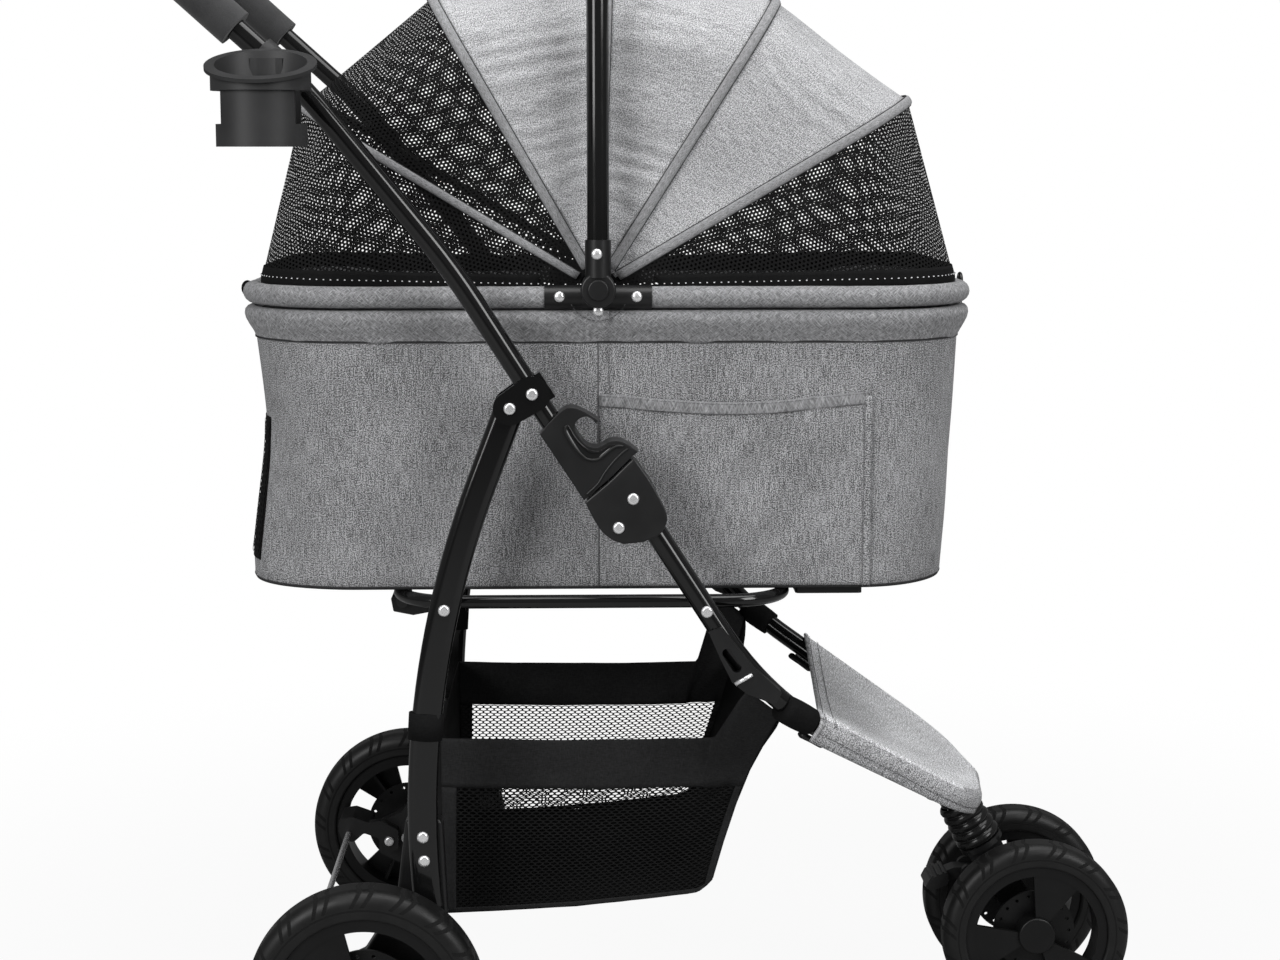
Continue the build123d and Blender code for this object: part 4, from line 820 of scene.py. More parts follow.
# Carrier
def outline_point(outline, share):
    """XY point and outward direction on a rounded outline, share 0 at the middle of its right side."""
    long, half, corner = outline
    runs = [long - corner, corner * pi / 2, 2 * (half - corner), corner * pi / 2, 2 * (long - corner),
            corner * pi / 2, 2 * (half - corner), corner * pi / 2, long - corner]
    left = (share % 1.0) * sum(runs)
    x, y, heading = CARRIER_X, -half, 0.0
    for i, run in enumerate(runs):
        step = min(left, run)
        if i % 2:
            centre_x, centre_y = x - corner * sin(heading), y + corner * cos(heading)
            heading += step / corner
            x, y = centre_x + corner * sin(heading), centre_y - corner * cos(heading)
        else:
            x, y = x + step * cos(heading), y + step * sin(heading)
        left -= step
        if left <= 0:
            break
    return Vector((x, y, 0)), Vector((sin(heading), -cos(heading), 0))


def outline_length(outline):
    """Whole way round a rounded outline."""
    long, half, corner = outline
    return 4 * (long - corner) + 4 * (half - corner) + 2 * pi * corner


WINDOW_HALF, WINDOW_LOW, WINDOW_HIGH = 112.0, 398.0, 500.0
WINDOW_EDGE, WINDOW_FADE = 138.0, 26.0      # half width where the proud window ends, and its easing
HOLLOW_LOW = 396.0                          # the rear wall draws in above this height
FOOT_TALL, FOOT_PROUD, HOLLOW_DEEP, FRONT_DRAW = 24.0, 9.0, 5.0, 6.0
REAR_REACH, FRONT_REACH = 36.0, 50.0        # run along the side over which each end is shaped


def wall_offset(place, z):
    """Outward offset of the basket wall: draft and soft waves, and at the rear a proud foot and window."""
    height = clamp((z - BASE_Z) / (SEAM_Z - BASE_Z))
    wave = soft_noise(place.x / 70.0, place.y / 70.0, z / 80.0) * 1.4
    wave += soft_noise(place.x / 24.0, place.y / 24.0, z / 60.0) * 0.5
    rear = exp(-((place.x - CARRIER_X + TUB[0]) / REAR_REACH) ** 2)
    front = exp(-((place.x - CARRIER_X - TUB[0]) / FRONT_REACH) ** 2)
    foot = max(0.0, 1 - (z - BASE_Z) / FOOT_TALL) ** 1.4
    hollow = max(0.0, sin(pi * clamp((z - HOLLOW_LOW) / (SEAM_Z - HOLLOW_LOW))))
    middle = ease((WINDOW_EDGE - abs(place.y)) / WINDOW_FADE)
    window = clamp((WINDOW_HIGH - z) / (WINDOW_HIGH - WINDOW_LOW))
    proud = FOOT_PROUD * (foot + (1 - foot) * window * middle)
    return (wave * sin(pi * height) - TUB_DRAFT * (1 - height) + rear * (proud - HOLLOW_DEEP * hollow)
            - front * FRONT_DRAW * (1 - height) ** 1.2)


def right_wall(x, z, lift):
    """Point on the right basket wall, lifted outwards."""
    return Vector((x, -TUB[1] - wall_offset(Vector((x, -TUB[1], 0)), z) - lift, z))


def basket_wall():
    """Cloth wall round the carrier, tucked under its base."""
    columns, length = 320, outline_length(TUB)
    levels = evenly(BASE_Z + 3.0, SEAM_Z + 2.0, 29)
    points, uvs = [], []
    for share in evenly(0.0, 1.0, columns):
        place, out = outline_point(TUB, share)
        foot = wall_offset(place, BASE_Z)
        points += [place + out * (foot - 6.0) + Vector((0, 0, BASE_Z + 0.2)),
                   place + out * (foot - 1.6) + Vector((0, 0, BASE_Z + 0.8))]
        points += [place + out * wall_offset(place, z) + Vector((0, 0, z)) for z in levels]
        uvs += [(share * length, z) for z in [BASE_Z - 6.0, BASE_Z - 1.0] + levels]
    faces = grid_faces(columns, len(levels) + 2)
    piece = make_piece("basket_wall", points, faces, BASKET_CLOTH, "carrier", uvs)
    face_outwards(piece, (CARRIER_X, 0, BASE_Z))
    thicken(piece, WALL_CLOTH)
    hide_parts("carrier_basket")


LINING_IN, LINING_TALL = 3.4, 210.0     # lining inside the wall, and the height its cut allows for


def basket_lining():
    """Dark lining with the underside of the carrier."""
    columns = 160
    levels = [BASE_Z + 0.4, 400.0, 425.0, 450.0, 480.0, 510.0, 540.0, RIM_TOP - 3.0]
    points = []
    for i in range(columns):
        place, out = outline_point(TUB, i / columns)
        for z in levels:
            points.append(place + out * (min(wall_offset(place, z), 0.0) - LINING_IN) + Vector((0, 0, z)))
    faces = grid_faces(columns, len(levels), close_rows=True)
    faces.append(tuple(range(0, len(points), len(levels))))
    piece = make_piece("basket_lining", points, faces, LINING_CLOTH, "carrier")
    thicken(piece, THIN_CLOTH, 0.0)


def band_piece(name, profile, material, wave=0.0, seed=0.0, on_wall=False):
    """Band round the carrier: profile of outward offset and height, from the outline or from the wall."""
    columns, length = 300, outline_length(TUB)
    points, uvs = [], []
    heights = [0.0]
    for (a, b), (c, d) in zip(profile, profile[1:]):
        heights.append(heights[-1] + hypot(c - a, d - b))
    for share in evenly(0.0, 1.0, columns):
        place, out = outline_point(TUB, share)
        for (offset, z), v in zip(profile, heights):
            ripple = wave * soft_noise(place.x / 26.0, place.y / 26.0, z / 14.0 + seed)
            base = wall_offset(place, BASE_Z) if on_wall else 0.0
            points.append(place + out * (base + offset + ripple) + Vector((0, 0, z)))
            uvs.append((share * length, v))
    piece = make_piece(name, points, grid_faces(columns, len(profile)), material, "carrier", uvs)
    face_outwards(piece, (CARRIER_X, 0, BASE_Z))
    return piece


# Section of the rim band, out from the wall and up from its seam, and the width of its cut
RIM_SWELL = [(0.4, -2.0), (1.0, 0.0), (2.4, 3.0), (5.2, 8.0), (7.4, 12.5), (8.3, 16.0), (8.0, 19.2),
             (6.2, 21.4), (3.0, 22.3), (-1.0, 22.0), (-3.0, 18.0)]


def rim_band():
    """Cloth band that swells out under the rim and draws in to its seam."""
    profile = [(out, SEAM_Z + rise) for out, rise in RIM_SWELL]
    piece = band_piece("rim_band", profile, BAND_CLOTH, 0.9, 3.0)
    thicken(piece, LIGHT_CLOTH)
    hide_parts("basket_rim")
    # Dark ribbons of painted seam shadow under the band's seam and round the foot of the wall.
    rim_seam = band_piece("rim_seam", [(0.9, SEAM_Z - 1.6), (0.9, SEAM_Z - 0.2)], SEAM_SHADE)
    foot = [(-0.6, BASE_Z + 0.2), (0.5, BASE_Z + 2.4)]
    foot_seam = band_piece("foot_seam", foot, SEAM_SHADE, on_wall=True)
    for seam in (rim_seam, foot_seam):
        thicken(seam, SEAM_TAPE)


ROLL_R, ROLL_STEP = 7.9, 2.75      # cloth roll round the ring tube, and its step round it


def ring_roll():
    """Cloth roll on the ring tube, open at both hubs."""
    count, ring = 170, 18
    length = outline_length(RING)
    arm, shift = (HUB_ARM - 3.0) / length, (HUB_X - CARRIER_X) / length
    spans = {"front": (arm + shift, 0.5 - arm - shift), "rear": (0.5 + arm - shift, 1.0 - arm + shift)}
    for side, (start, stop) in spans.items():
        shares = evenly(start, stop, count)
        path = [outline_point(RING, share)[0] + Vector((0, 0, RING_Z)) for share in shares]
        sizes = [1.0 + 0.035 * soft_noise(*(p / 14.0)) for p in path]
        points, faces = sweep(path, circle(ROLL_R, ring), up=(0, 0, 1), scale=sizes)
        uvs = [(length * share, ROLL_STEP * k) for share in shares for k in range(ring)]
        piece = make_piece(f"ring_roll_{side}", points, faces, BAND_CLOTH, "carrier", uvs)


POCKET_REAR, POCKET_FRONT, POCKET_LOW, POCKET_TOP = -86.0, 112.0, 381.0, 524.0
POCKET_SAG, POCKET_CUT = 6.5, 150.0     # sag of its mouth, and the height of its cut


def pocket_top(x):
    """Height of the sagging pocket mouth."""
    share = (x - POCKET_REAR) / (POCKET_FRONT - POCKET_REAR)
    return POCKET_TOP + 1.5 * share - POCKET_SAG * sin(pi * share) ** 1.3


def pocket_lift(x, z):
    """How far the slack pocket stands off the wall: soft folds that climb towards the front."""
    share = (x - POCKET_REAR) / (POCKET_FRONT - POCKET_REAR)
    height = (z - POCKET_LOW) / (pocket_top(x) - POCKET_LOW)
    loose = sin(pi * share) ** 0.6 * min(1.0, height * 5.0)
    fold = soft_noise((x - z * 0.8) / 30.0, (x + z) / 120.0, 4.0) * 3.2
    fold += soft_noise((x - z * 0.5) / 13.0, (x + z) / 70.0, 8.0) * 0.7
    return 1.0 + loose * (1.6 + fold + 1.2 * height)


def pocket():
    """Slack patch pocket on the right wall."""
    columns, rows = 70, 54
    places = [(x, z) for x in evenly(POCKET_REAR, POCKET_FRONT, columns)
              for z in evenly(POCKET_LOW, pocket_top(x), rows)]
    points = [right_wall(x, z, pocket_lift(x, z)) for x, z in places]
    uvs = [(x + 31.0, z + 17.0) for x, z in places]
    piece = make_piece("pocket", points, grid_faces(columns, rows), BASKET_CLOTH, "carrier", uvs)
    face_outwards(piece, (CARRIER_X, 0, 470))
    thicken(piece, POCKET_CLOTH)


def pocket_edges():
    """Hem of the pocket's mouth, binding of its front edge, their stitches and the seam behind it."""
    count = 12
    xs, zs = evenly(POCKET_REAR, POCKET_FRONT, 50), evenly(POCKET_LOW, POCKET_TOP - 1.0, 40)

    def hem_line(drop, lift):
        places = [(x, pocket_top(x) - drop) for x in xs]
        return [right_wall(x, z, pocket_lift(x, z) + lift) for x, z in places]

    turns = [2 * pi * k / count for k in range(count)]
    flat = [(0.55 * sin(turn), 4.6 * cos(turn)) for turn in turns]
    points, faces = sweep(hem_line(4.0, 0.3), flat, up=(0, 0, 1))
    uvs = [(x - POCKET_REAR, 1.0 * k) for x in xs for k in range(count)]
    hem = make_piece("pocket_hem", points, faces, BAND_CLOTH, "carrier", uvs)
    edge = [right_wall(POCKET_FRONT, z, 1.6) for z in zs]
    points, faces = sweep(edge, ellipse(3.2, 1.1, count), up=(0, -1, 0))
    uvs = [(1.0 * k, z) for z in zs for k in range(count)]
    binding = make_piece("pocket_binding", points, faces, BASKET_CLOTH, "carrier", uvs)
    rows = [hem_line(9.0, 0.5), hem_line(0.8, 0.9)]
    rows += [[right_wall(POCKET_FRONT + side, z, 2.2) for z in zs] for side in (-2.6, 2.6)]
    stitches("pocket_stitches", rows, "carrier", 3.0, 2.3, 0.45, SEAM_SOFT)
    seam = [right_wall(POCKET_REAR - 1.0, z, 0.2) for z in evenly(BASE_Z + 3, SEAM_Z - 2, 40)]
    points, faces = sweep(seam, ellipse(0.5, 0.35, 8), up=(0, -1, 0))
    make_piece("side_seam", points, faces, SEAM_SOFT, "carrier")


def rear_window():
    """Black net window low on the rear wall, over a dark backing."""
    tall = WINDOW_HIGH - WINDOW_LOW

    def place(x, z, lift):
        spot, out = outline_point(TUB, 0.75 + x / outline_length(TUB))
        return spot + out * (wall_offset(spot, z) + lift) + Vector((0, 0, z))

    net = flat_net(2 * WINDOW_HALF, tall, 5.0, 0.55)
    lists = net_lists(net, lambda x, y: place(x, y + WINDOW_LOW + tall / 2, 1.6))
    net.free()
    piece = net_piece("rear_window_net", [lists], "carrier")
    columns, rows = 40, 12
    points = [place(x, z, 0.7) for x in evenly(-WINDOW_HALF, WINDOW_HALF, columns)
              for z in evenly(WINDOW_LOW - 3, WINDOW_HIGH + 3, rows)]
    faces = grid_faces(columns, rows)
    backing = make_piece("rear_window_backing", points, faces, BLACK_CLOTH, "carrier")
    face_outwards(backing, (CARRIER_X, 0, 470))
    thicken(backing, THIN_CLOTH)


HEM_WIDE, HEM_DROP, HEM_CUT = 9.0, 7.0, 17.0    # hem tape above the ring and below it, and its cut
HEM_START = 44.0


def canopy_hems():
    """Solid black hem tapes along the ring, with a row of pale stitches."""
    for name, ring, bow, body in (("front", RING_FRONT, BOWS["front"], "bow_front"),
                                  ("rear", RING_BACK, BOWS["rear"], "carrier")):
        length, bow_length = hoop_length(ring[1]), hoop_length(bow[1])

        def towards_bow(run, share, lift):
            return hoop_point(ring, run, lift).lerp(hoop_point(bow, run * bow_length / length, lift), share)

        runs = hoop_runs(ring, HEM_START)
        points, row = [], []
        for run in runs:
            arm = min(run, 2 * length - run, ring[1])
            share = min(HEM_WIDE / (arm * radians(abs(ring[0] - bow[0]))), 0.8)
            points.append(hoop_point(ring, run, 1.0) - Vector((0, 0, HEM_DROP)))
            points += [towards_bow(run, share * k / 3, 1.0) for k in range(4)]
            row.append(towards_bow(run, share * 0.25, 2.0))
        tape = make_piece(f"canopy_hem_{name}", points, grid_faces(len(runs), 5), BLACK_CLOTH, body)
        face_outwards(tape, (HUB_X, 0, HUB_Z))
        thicken(tape, THIN_CLOTH, 0.0)
        dots = stitches(f"canopy_hem_dots_{name}", [row], body, 5.2, 1.3, 0.9, THREAD_PALE)


# Rivets by their place ahead of the hub axis, out from the middle plane and up, and the arc of stitches
HUB_RIVETS = [(-28.0, 165.6, 596.6), (28.0, 165.6, 596.6), (0.0, 163.6, 586.0)]
SOCKET_RIVET = (-1.0, 181.6, 628.0)
ARC_R, ARC_FACE = 22.0, 164.2


def hub_details():
    """Rivets of the hubs and their sockets, and the half round of stitches under each hub."""
    arms, sockets, arcs = [], [], []
    turns = [radians(turn) for turn in evenly(200, 340, 25)]
    for sign in (-1, 1):
        arms += [(HUB_X + x, sign * y, z) for x, y, z in HUB_RIVETS]
        x, y, z = SOCKET_RIVET
        sockets.append((HUB_X + x, sign * y, z))
        arcs.append([(HUB_X + ARC_R * cos(a), sign * ARC_FACE, HUB_Z - 1.0 + ARC_R * sin(a)) for a in turns])
    rivets("hub_rivets", arms, "carrier", 3.9, 1.9)
    rivets("socket_rivets", sockets, "carry_arch", 3.9, 1.9)
    stitches("hub_stitches", arcs, "carrier", 3.2, 2.4, 0.7)


HOOK_LINE = [(0, -3), (0, -7), (-3.5, -10), (-4.5, -14), (-2.5, -18), (1.5, -18.5), (4, -15.5), (4, -11)]


def front_hook():
    """Snap hook that hangs on a loop of tape at the front of the ring, and the cord loop behind."""
    x, y, z = CARRIER_X + RING[0] + 5.0, -52.0, RING_Z
    ring = [(x, y + a, z + 4.0 + b) for a, b in circle(7.0, 20)]
    hook = [(x, y + a, z + b) for a, b in HOOK_LINE]
    neck = [(x, y, z + 2.0), (x, y, z - 3.0)]
    shapes = [sweep(ring, circle(1.5, 10), closed=True), sweep(hook, circle(1.5, 10)),
              sweep(neck, circle(2.6, 12))]
    make_piece("snap_hook", *joined(shapes), TUBE_BLACK, "carrier")
    x = CARRIER_X - RING[0] - 5.0
    loop = [(x - 2.6 - a, -58.0, z + 1.0 + b) for a, b in ellipse(3.6, 5.0, 16)]
    cord = make_piece("cord_loop", *sweep(loop, circle(1.2, 10), closed=True), BLACK_CLOTH, "carrier")


# Front legs below their bend
LEG_BEND_X, LEG_BEND_Z = 33.3, 304.9
LEG_FALL, LEG_CLOSE = 0.645, 0.548      # drop, and run towards the middle, for each millimetre forward

# Storage basket
BIN_TOP, BIN_REAR, BIN_FRONT = 260.0, -207.0, 36.0
BIN_LOW_REAR, BIN_LOW_FRONT_X, BIN_LOW_FRONT = 122.0, -2.0, 138.0
BIN_HALF, BIN_HEM = 130.0, 38.0
PANEL, PANEL_STEP = 0.868, 0.024        # share of the side where the cloth climbs to the leg, and its run
PANEL_RISE, PANEL_END = 50.0, 29.0      # height of that panel over the top edge, at its rear and front
PANEL_SPREAD = 50.0     # how far its top leans out to the leg
BIN_PITCH, BIN_HOLE, BIN_FLAT = 6.6, 0.72, 0.41     # cells of the side nets, wider than tall
STRAP_X, STRAP_Z, STRAP_TALL, STRAP_LEAN = -213.9, 286.0, 10.0, 0.06
STRAP_HALF = (12.6, 7.4)


def bin_front(z):
    """Front edge of the storage basket at a height."""
    share = (z - BIN_LOW_FRONT) / (BIN_TOP - BIN_LOW_FRONT)
    return BIN_LOW_FRONT_X + (BIN_FRONT - BIN_LOW_FRONT_X) * max(share, 0.0) ** 1.15


def bin_low(x):
    """Sagging bottom edge."""
    share = (x - BIN_REAR) / (BIN_LOW_FRONT_X - BIN_REAR)
    return BIN_LOW_REAR + (BIN_LOW_FRONT - BIN_LOW_REAR) * share - 3.0 * sin(pi * share)


def leg_half(x):
    """Distance of the front legs from the middle plane, behind the toe."""
    return FRAME_HALF - LEG_CLOSE * (x - LEG_BEND_X)


def leg_level(x):
    """Height of the axis of the front legs."""
    return LEG_BEND_Z - LEG_FALL * (x - LEG_BEND_X)


def bin_side(u, v, lift=0.0):
    """Point on the right wall, u from the rear and v from the bottom.

    The lower edge of the hem is at v = 1 and the top at v = 2. Behind the front edge a panel of the hem
    climbs to the leg.
    """
    climb = ease((u - PANEL + PANEL_STEP / 2) / PANEL_STEP)
    fall = max(0.0, (u - PANEL) / (1 - PANEL))
    top = BIN_TOP + (PANEL_RISE + (PANEL_END - PANEL_RISE) * fall) * climb - 2.0 * sin(pi * u)
    hem = BIN_TOP - BIN_HEM - 2.0 * sin(pi * u)
    low = bin_low(BIN_REAR + u * (BIN_LOW_FRONT_X - BIN_REAR)) + 9.0 * max(0.0, (u - 0.94) / 0.06) ** 2
    z = low + (hem - low) * v if v < 1 else hem + (top - hem) * (v - 1)
    x = BIN_REAR + u * (bin_front(z) - BIN_REAR)
    height = (z - low) / (BIN_TOP - low)
    slack = soft_noise(x / 40.0, 0.0, z / 34.0) * 2.0 * sin(pi * u)
    slack += 1.5 * sin(pi * u) * max(0.0, sin(pi * height))
    slack += soft_noise(x / 17.0 + z / 30.0, 3.0, z / 22.0) * 0.8 * height
    crease = soft_noise((x - z) / 9.0, (x + z) / 60.0, 5.0) * 1.6 * climb * sin(pi * min(v / 2, 1))
    spread = PANEL_SPREAD * climb * max(0.0, (v - 0.8) / 1.2) ** 1.6
    return Vector((x, -BIN_HALF - slack - spread - crease - lift, z))


def bin_strip(u_from, u_to, v_from, v_to, lift, columns, rows):
    """Points and faces of a strip of the right wall."""
    points = [bin_side(u, v, lift) for u in evenly(u_from, u_to, columns) for v in evenly(v_from, v_to, rows)]
    return [tuple(p) for p in points], grid_faces(columns, rows)


def storage_walls():
    """Rear wall, floor and front wall as one sheet from the rear top edge to the front one."""
    rows = [(0.0, 2.0), (0.0, 1.0), (0.0, 0.4), (0.0, 0.05)] + [(k / 12, 0.0) for k in range(1, 12)]
    rows += [(0.96, 0.0), (0.985, 0.0)] + [(1.0, v) for v in (0.02, 0.05, 0.4, 0.8, 1.2, 1.6, 2.0)]
    columns = 41
    points = []
    for u, v in rows:
        edge, inner = bin_side(u, v), bin_side(min(u, 0.84), v)
        low = v < 0.2
        for b in evenly(-1.0, 1.0, columns):
            middle = 1 - b * b
            sag = 3.0 * middle * low + soft_noise(edge.x / 30.0, b * 4.0, 2.0) * 1.2
            out = 0.0 if low else 2.5 * middle * (1.0 if u > 0.5 else -0.3)
            corner = max(0.0, (abs(b) - 0.7) / 0.3) ** 1.6
            z = inner.z + (edge.z - inner.z) * corner if u > 0.5 and not low else edge.z
            points.append((edge.x + out - (1 - corner) * (edge.z - z) * 0.3, -edge.y * b, z - sag))
    return points, grid_faces(len(rows), columns)


def storage_basket():
    """Black cloth basket with net sides between the seat frame and the front frame, with sleeves on the front
    legs.
    """
    strips = [bin_strip(0, 1, 1.0, 2.0, 0.8, 150, 12), bin_strip(0, 0.05, 0, 1.0, 0.6, 5, 24),
              bin_strip(0.975, 1, 0, 1.0, 0.6, 5, 24), bin_strip(0, 1, 0, 0.04, 0.6, 60, 4)]
    sides = [side for strip in strips for side in (strip, mirrored(strip))]
    wide, high = BIN_FRONT - BIN_REAR, BIN_TOP - BIN_HEM - BIN_LOW_REAR
    bands = make_piece("storage_bands", *joined(sides), HEM_CLOTH, None)
    thicken(bands, LIGHT_CLOTH, 0.0)
    net = flat_net(wide + 6, high + 4, BIN_PITCH, BIN_HOLE, flat=BIN_FLAT)
    right = net_lists(net, lambda x, y: bin_side(clamp(0.5 + x / wide), clamp(0.5 + y / high, 0, 0.999)))
    net.free()
    nets = net_piece("storage_nets", [right, mirrored(right)], None)
    walls = make_piece("storage_walls", *storage_walls(), BLACK_CLOTH, None)
    face_outwards(walls, (-90, 0, 210))
    thicken(walls, LIGHT_CLOTH, 0.0)
    sleeve = []
    for sign in (-1, 1):
        path = [(x, sign * leg_half(x), leg_level(x) + 0.6) for x in (47.0, 52.0, 58.0, 63.5, 69.0)]
        sleeve.append(sweep(path, circle(10.8, 24), scale=[0.96, 1.0, 1.02, 1.0, 0.96]))
    sleeves = make_piece("storage_sleeves", *joined(sleeve), BLACK_CLOTH, None)
    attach(sleeves, "front_frame")
    for piece in (bands, nets, walls):
        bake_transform(piece)
    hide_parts("storage_basket")


def rear_leg_straps():
    """Webbing round each rear leg that ties the basket to it."""
    half = Vector((STRAP_LEAN, 0, 1)).normalized() * STRAP_TALL
    straps = []
    for sign in (-1, 1):
        middle = Vector((STRAP_X, sign * FRAME_HALF, STRAP_Z))
        path = [middle - half, middle, middle + half]
        straps.append(sweep(path, ellipse(*STRAP_HALF, 32), up=(0, 1, 0)))
    piece = make_piece("rear_leg_straps", *joined(straps), BLACK_CLOTH, "rear_frame")


# Front strut: the bellows and the coil inside it
STRUT_TOP, STRUT_LOW = Vector((205.0, 0, 177.0)), Vector((266.0, 0, 75.0))
BELLOWS_FROM, BELLOWS_TO, BELLOWS_RIBS, BELLOWS_WALL = 8.3, 45.7, 5, 1.2
BELLOWS_R, BELLOWS_FLARE, BELLOWS_DEEP, RIB_STEPS = 14.9, 2.4, 2.2, 12
COIL_R, COIL_WIRE, COIL_TURNS, COIL_STEPS = 10.2, 0.8, 6, 24


def front_strut():
    """Ribbed rubber bellows round a coil spring, both held at the strut head."""
    run = (STRUT_LOW - STRUT_TOP).normalized()
    across = run.cross(Vector((0, 1, 0)))
    rows = RIB_STEPS * BELLOWS_RIBS
    path = [STRUT_TOP + run * place for place in evenly(BELLOWS_FROM, BELLOWS_TO, rows + 1)]
    swells = [sin(pi * (k % RIB_STEPS) / RIB_STEPS) ** 0.7 for k in range(rows + 1)]
    sizes = [BELLOWS_R + BELLOWS_FLARE * k / rows + BELLOWS_DEEP * swell for k, swell in enumerate(swells)]
    points, faces = sweep(path, circle(1.0, 48), scale=sizes)
    bellows = make_piece("strut_bellows", points, faces[:-2], GAITER, "caster")
    thicken(bellows, BELLOWS_WALL)
    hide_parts("spring_gaiter")
    low, high = BELLOWS_FROM + COIL_WIRE, BELLOWS_TO - COIL_WIRE
    coil = []
    for k, place in enumerate(evenly(low, high, COIL_TURNS * COIL_STEPS + 1)):
        turn = 2 * pi * k / COIL_STEPS
        middle = STRUT_TOP + run * place
        coil.append(middle + across * (COIL_R * cos(turn)) + Vector((0, COIL_R * sin(turn), 0)))
    spring = make_piece("strut_coil", *sweep(coil, circle(COIL_WIRE, 10)), STEEL, "caster")
    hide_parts("suspension_spring")
    for piece in (bellows, spring):
        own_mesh(piece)


# Relief of the fold sliders, as rise and reach ahead of the fold pivot
FOLD_X, FOLD_Z, FOLD_SLOPE = -73.0, 434.0, 57.4
SLIDER_FACE, RELIEF_SKIN = 206.0, 0.3
RIDGE = [(32.5, -6.5), (34.5, 4.1), (38.8, 13.3), (42.1, 22.8), (44.0, 31.3), (44.3, 36.0)]
GROOVE_RIM = [(82.0, 7.5), (79.0, 5.6), (73.0, 5.0), (64.5, 5.1), (57.0, 6.7), (53.0, 8.6), (49.7, 13.8),
              (50.0, 19.9), (50.6, 25.0), (50.2, 30.6), (47.6, 34.4)]
GROOVE_EDGE = [(82.5, 9.0), (79.5, 9.8), (73.0, 9.4), (65.5, 10.2), (59.5, 12.4), (56.5, 14.8), (54.2, 18.0),
               (53.8, 22.0), (53.4, 26.5), (51.0, 31.8), (48.0, 35.0)]


def smooth_line(points, count):
    """Points on a smooth curve through a few, taken at even steps."""
    ends = [points[0]] + points + [points[-1]]
    line = []
    for k in range(count):
        place = k / (count - 1) * (len(points) - 1)
        i = min(int(place), len(points) - 2)
        t = place - i
        here = []
        for p, q, r, s in zip(*ends[i:i + 4]):
            bend, twist = 2 * p - 5 * q + 4 * r - s, 3 * q - p - 3 * r + s
            here.append(0.5 * (2 * q + (r - p) * t + bend * t * t + twist * t ** 3))
        line.append(tuple(here))
    return line


def slider_point(rise, ahead, lift, sign):
    """Point over the face of a slider, by its rise along the tube and reach ahead of it."""
    slope = radians(FOLD_SLOPE)
    x = FOLD_X - rise * cos(slope) + ahead * sin(slope)
    return (x, sign * (SLIDER_FACE + lift), FOLD_Z + rise * sin(slope) + ahead * cos(slope))


def slider_relief():
    """Ridge over the lower edge of each slider and the hollow moulded round its finger hook."""
    for side, sign in (("right", -1), ("left", 1)):
        ridge = [slider_point(a, b, 0.0, sign) for a, b in smooth_line(RIDGE, 40)]
        piece = make_piece(f"slider_ridge_{side}", *sweep(ridge, circle(0.9, 10)), PLASTIC, f"slider_{side}")
        rim, edge = smooth_line(GROOVE_RIM, 60), smooth_line(GROOVE_EDGE, 60)
        points = []
        for (a, b), (c, d) in zip(rim, edge):
            for t in evenly(0.0, 1.0, 9):
                lift = 0.15 + 1.5 * (1 - t) ** 2.2 + 0.4 * t * t
                points.append(slider_point(a + (c - a) * t, b + (d - b) * t, lift, sign))
        groove = make_piece(f"slider_groove_{side}", points, grid_faces(60, 9), TUBE_BLACK, f"slider_{side}")
        face_outwards(groove, (FOLD_X, 0, FOLD_Z))
        thicken(groove, RELIEF_SKIN)
        bead = [slider_point(a, b, 1.0, sign) for a, b in rim]
        piece = make_piece(f"slider_rim_{side}", *sweep(bead, circle(1.0, 10)), PLASTIC, f"slider_{side}")


SHELL_FACE = 207.5
SHELL_EDGE = [(28.6, -10.2), (14.3, -11.7), (2.8, -11.2), (-6.0, -8.0), (-12.0, -2.3), (-16.4, 5.6),
              (-19.4, 15.0), (-19.8, 23.2), (-15.1, 31.2), (-8.0, 34.9), (2.6, 36.4), (17.7, 37.2),
              (36.6, 36.4), (34.0, 24.0), (31.7, 12.9), (30.0, 1.0)]


def shell_caps():
    """Smooth moulded face over the cheek of each fold shell, a little crowned."""
    line = smooth_line(SHELL_EDGE[:13], 72) + smooth_line(SHELL_EDGE[12:] + SHELL_EDGE[:1], 24)[1:-1]
    centre = (8.0, 13.0)
    rings = [(1.0, -2.6), (1.0, 0.05), (0.985, 0.4), (0.95, 0.6), (0.8, 0.8), (0.5, 1.0), (0.2, 1.05)]
    caps = []
    for sign in (-1, 1):
        points = []
        for size, lift in rings:
            points += [slider_point(centre[0] + (a - centre[0]) * size, centre[1] + (b - centre[1]) * size,
                                    SHELL_FACE - SLIDER_FACE + lift, sign) for a, b in line]
        points.append(slider_point(*centre, SHELL_FACE - SLIDER_FACE + 1.05, sign))
        count = len(line)
        faces = grid_faces(len(rings), count, close_columns=True)
        last = (len(rings) - 1) * count
        faces += [(last + k, last + (k + 1) % count, len(points) - 1) for k in range(count)]
        if sign > 0:
            faces = reversed_faces(faces)
        caps.append((points, faces))
    piece = make_piece("fold_shell_caps", *joined(caps), PLASTIC, "front_frame")


GUSSET_BAR = [(11.4, 205.4, 318.2), (17.6, 205.6, 321.8), (23.8, 205.4, 325.4)]
CLIP_BACK, CLIP_LONG, CLIP_IN, CLIP_DROP = 8.0, 18.0, 5.8, 13.8


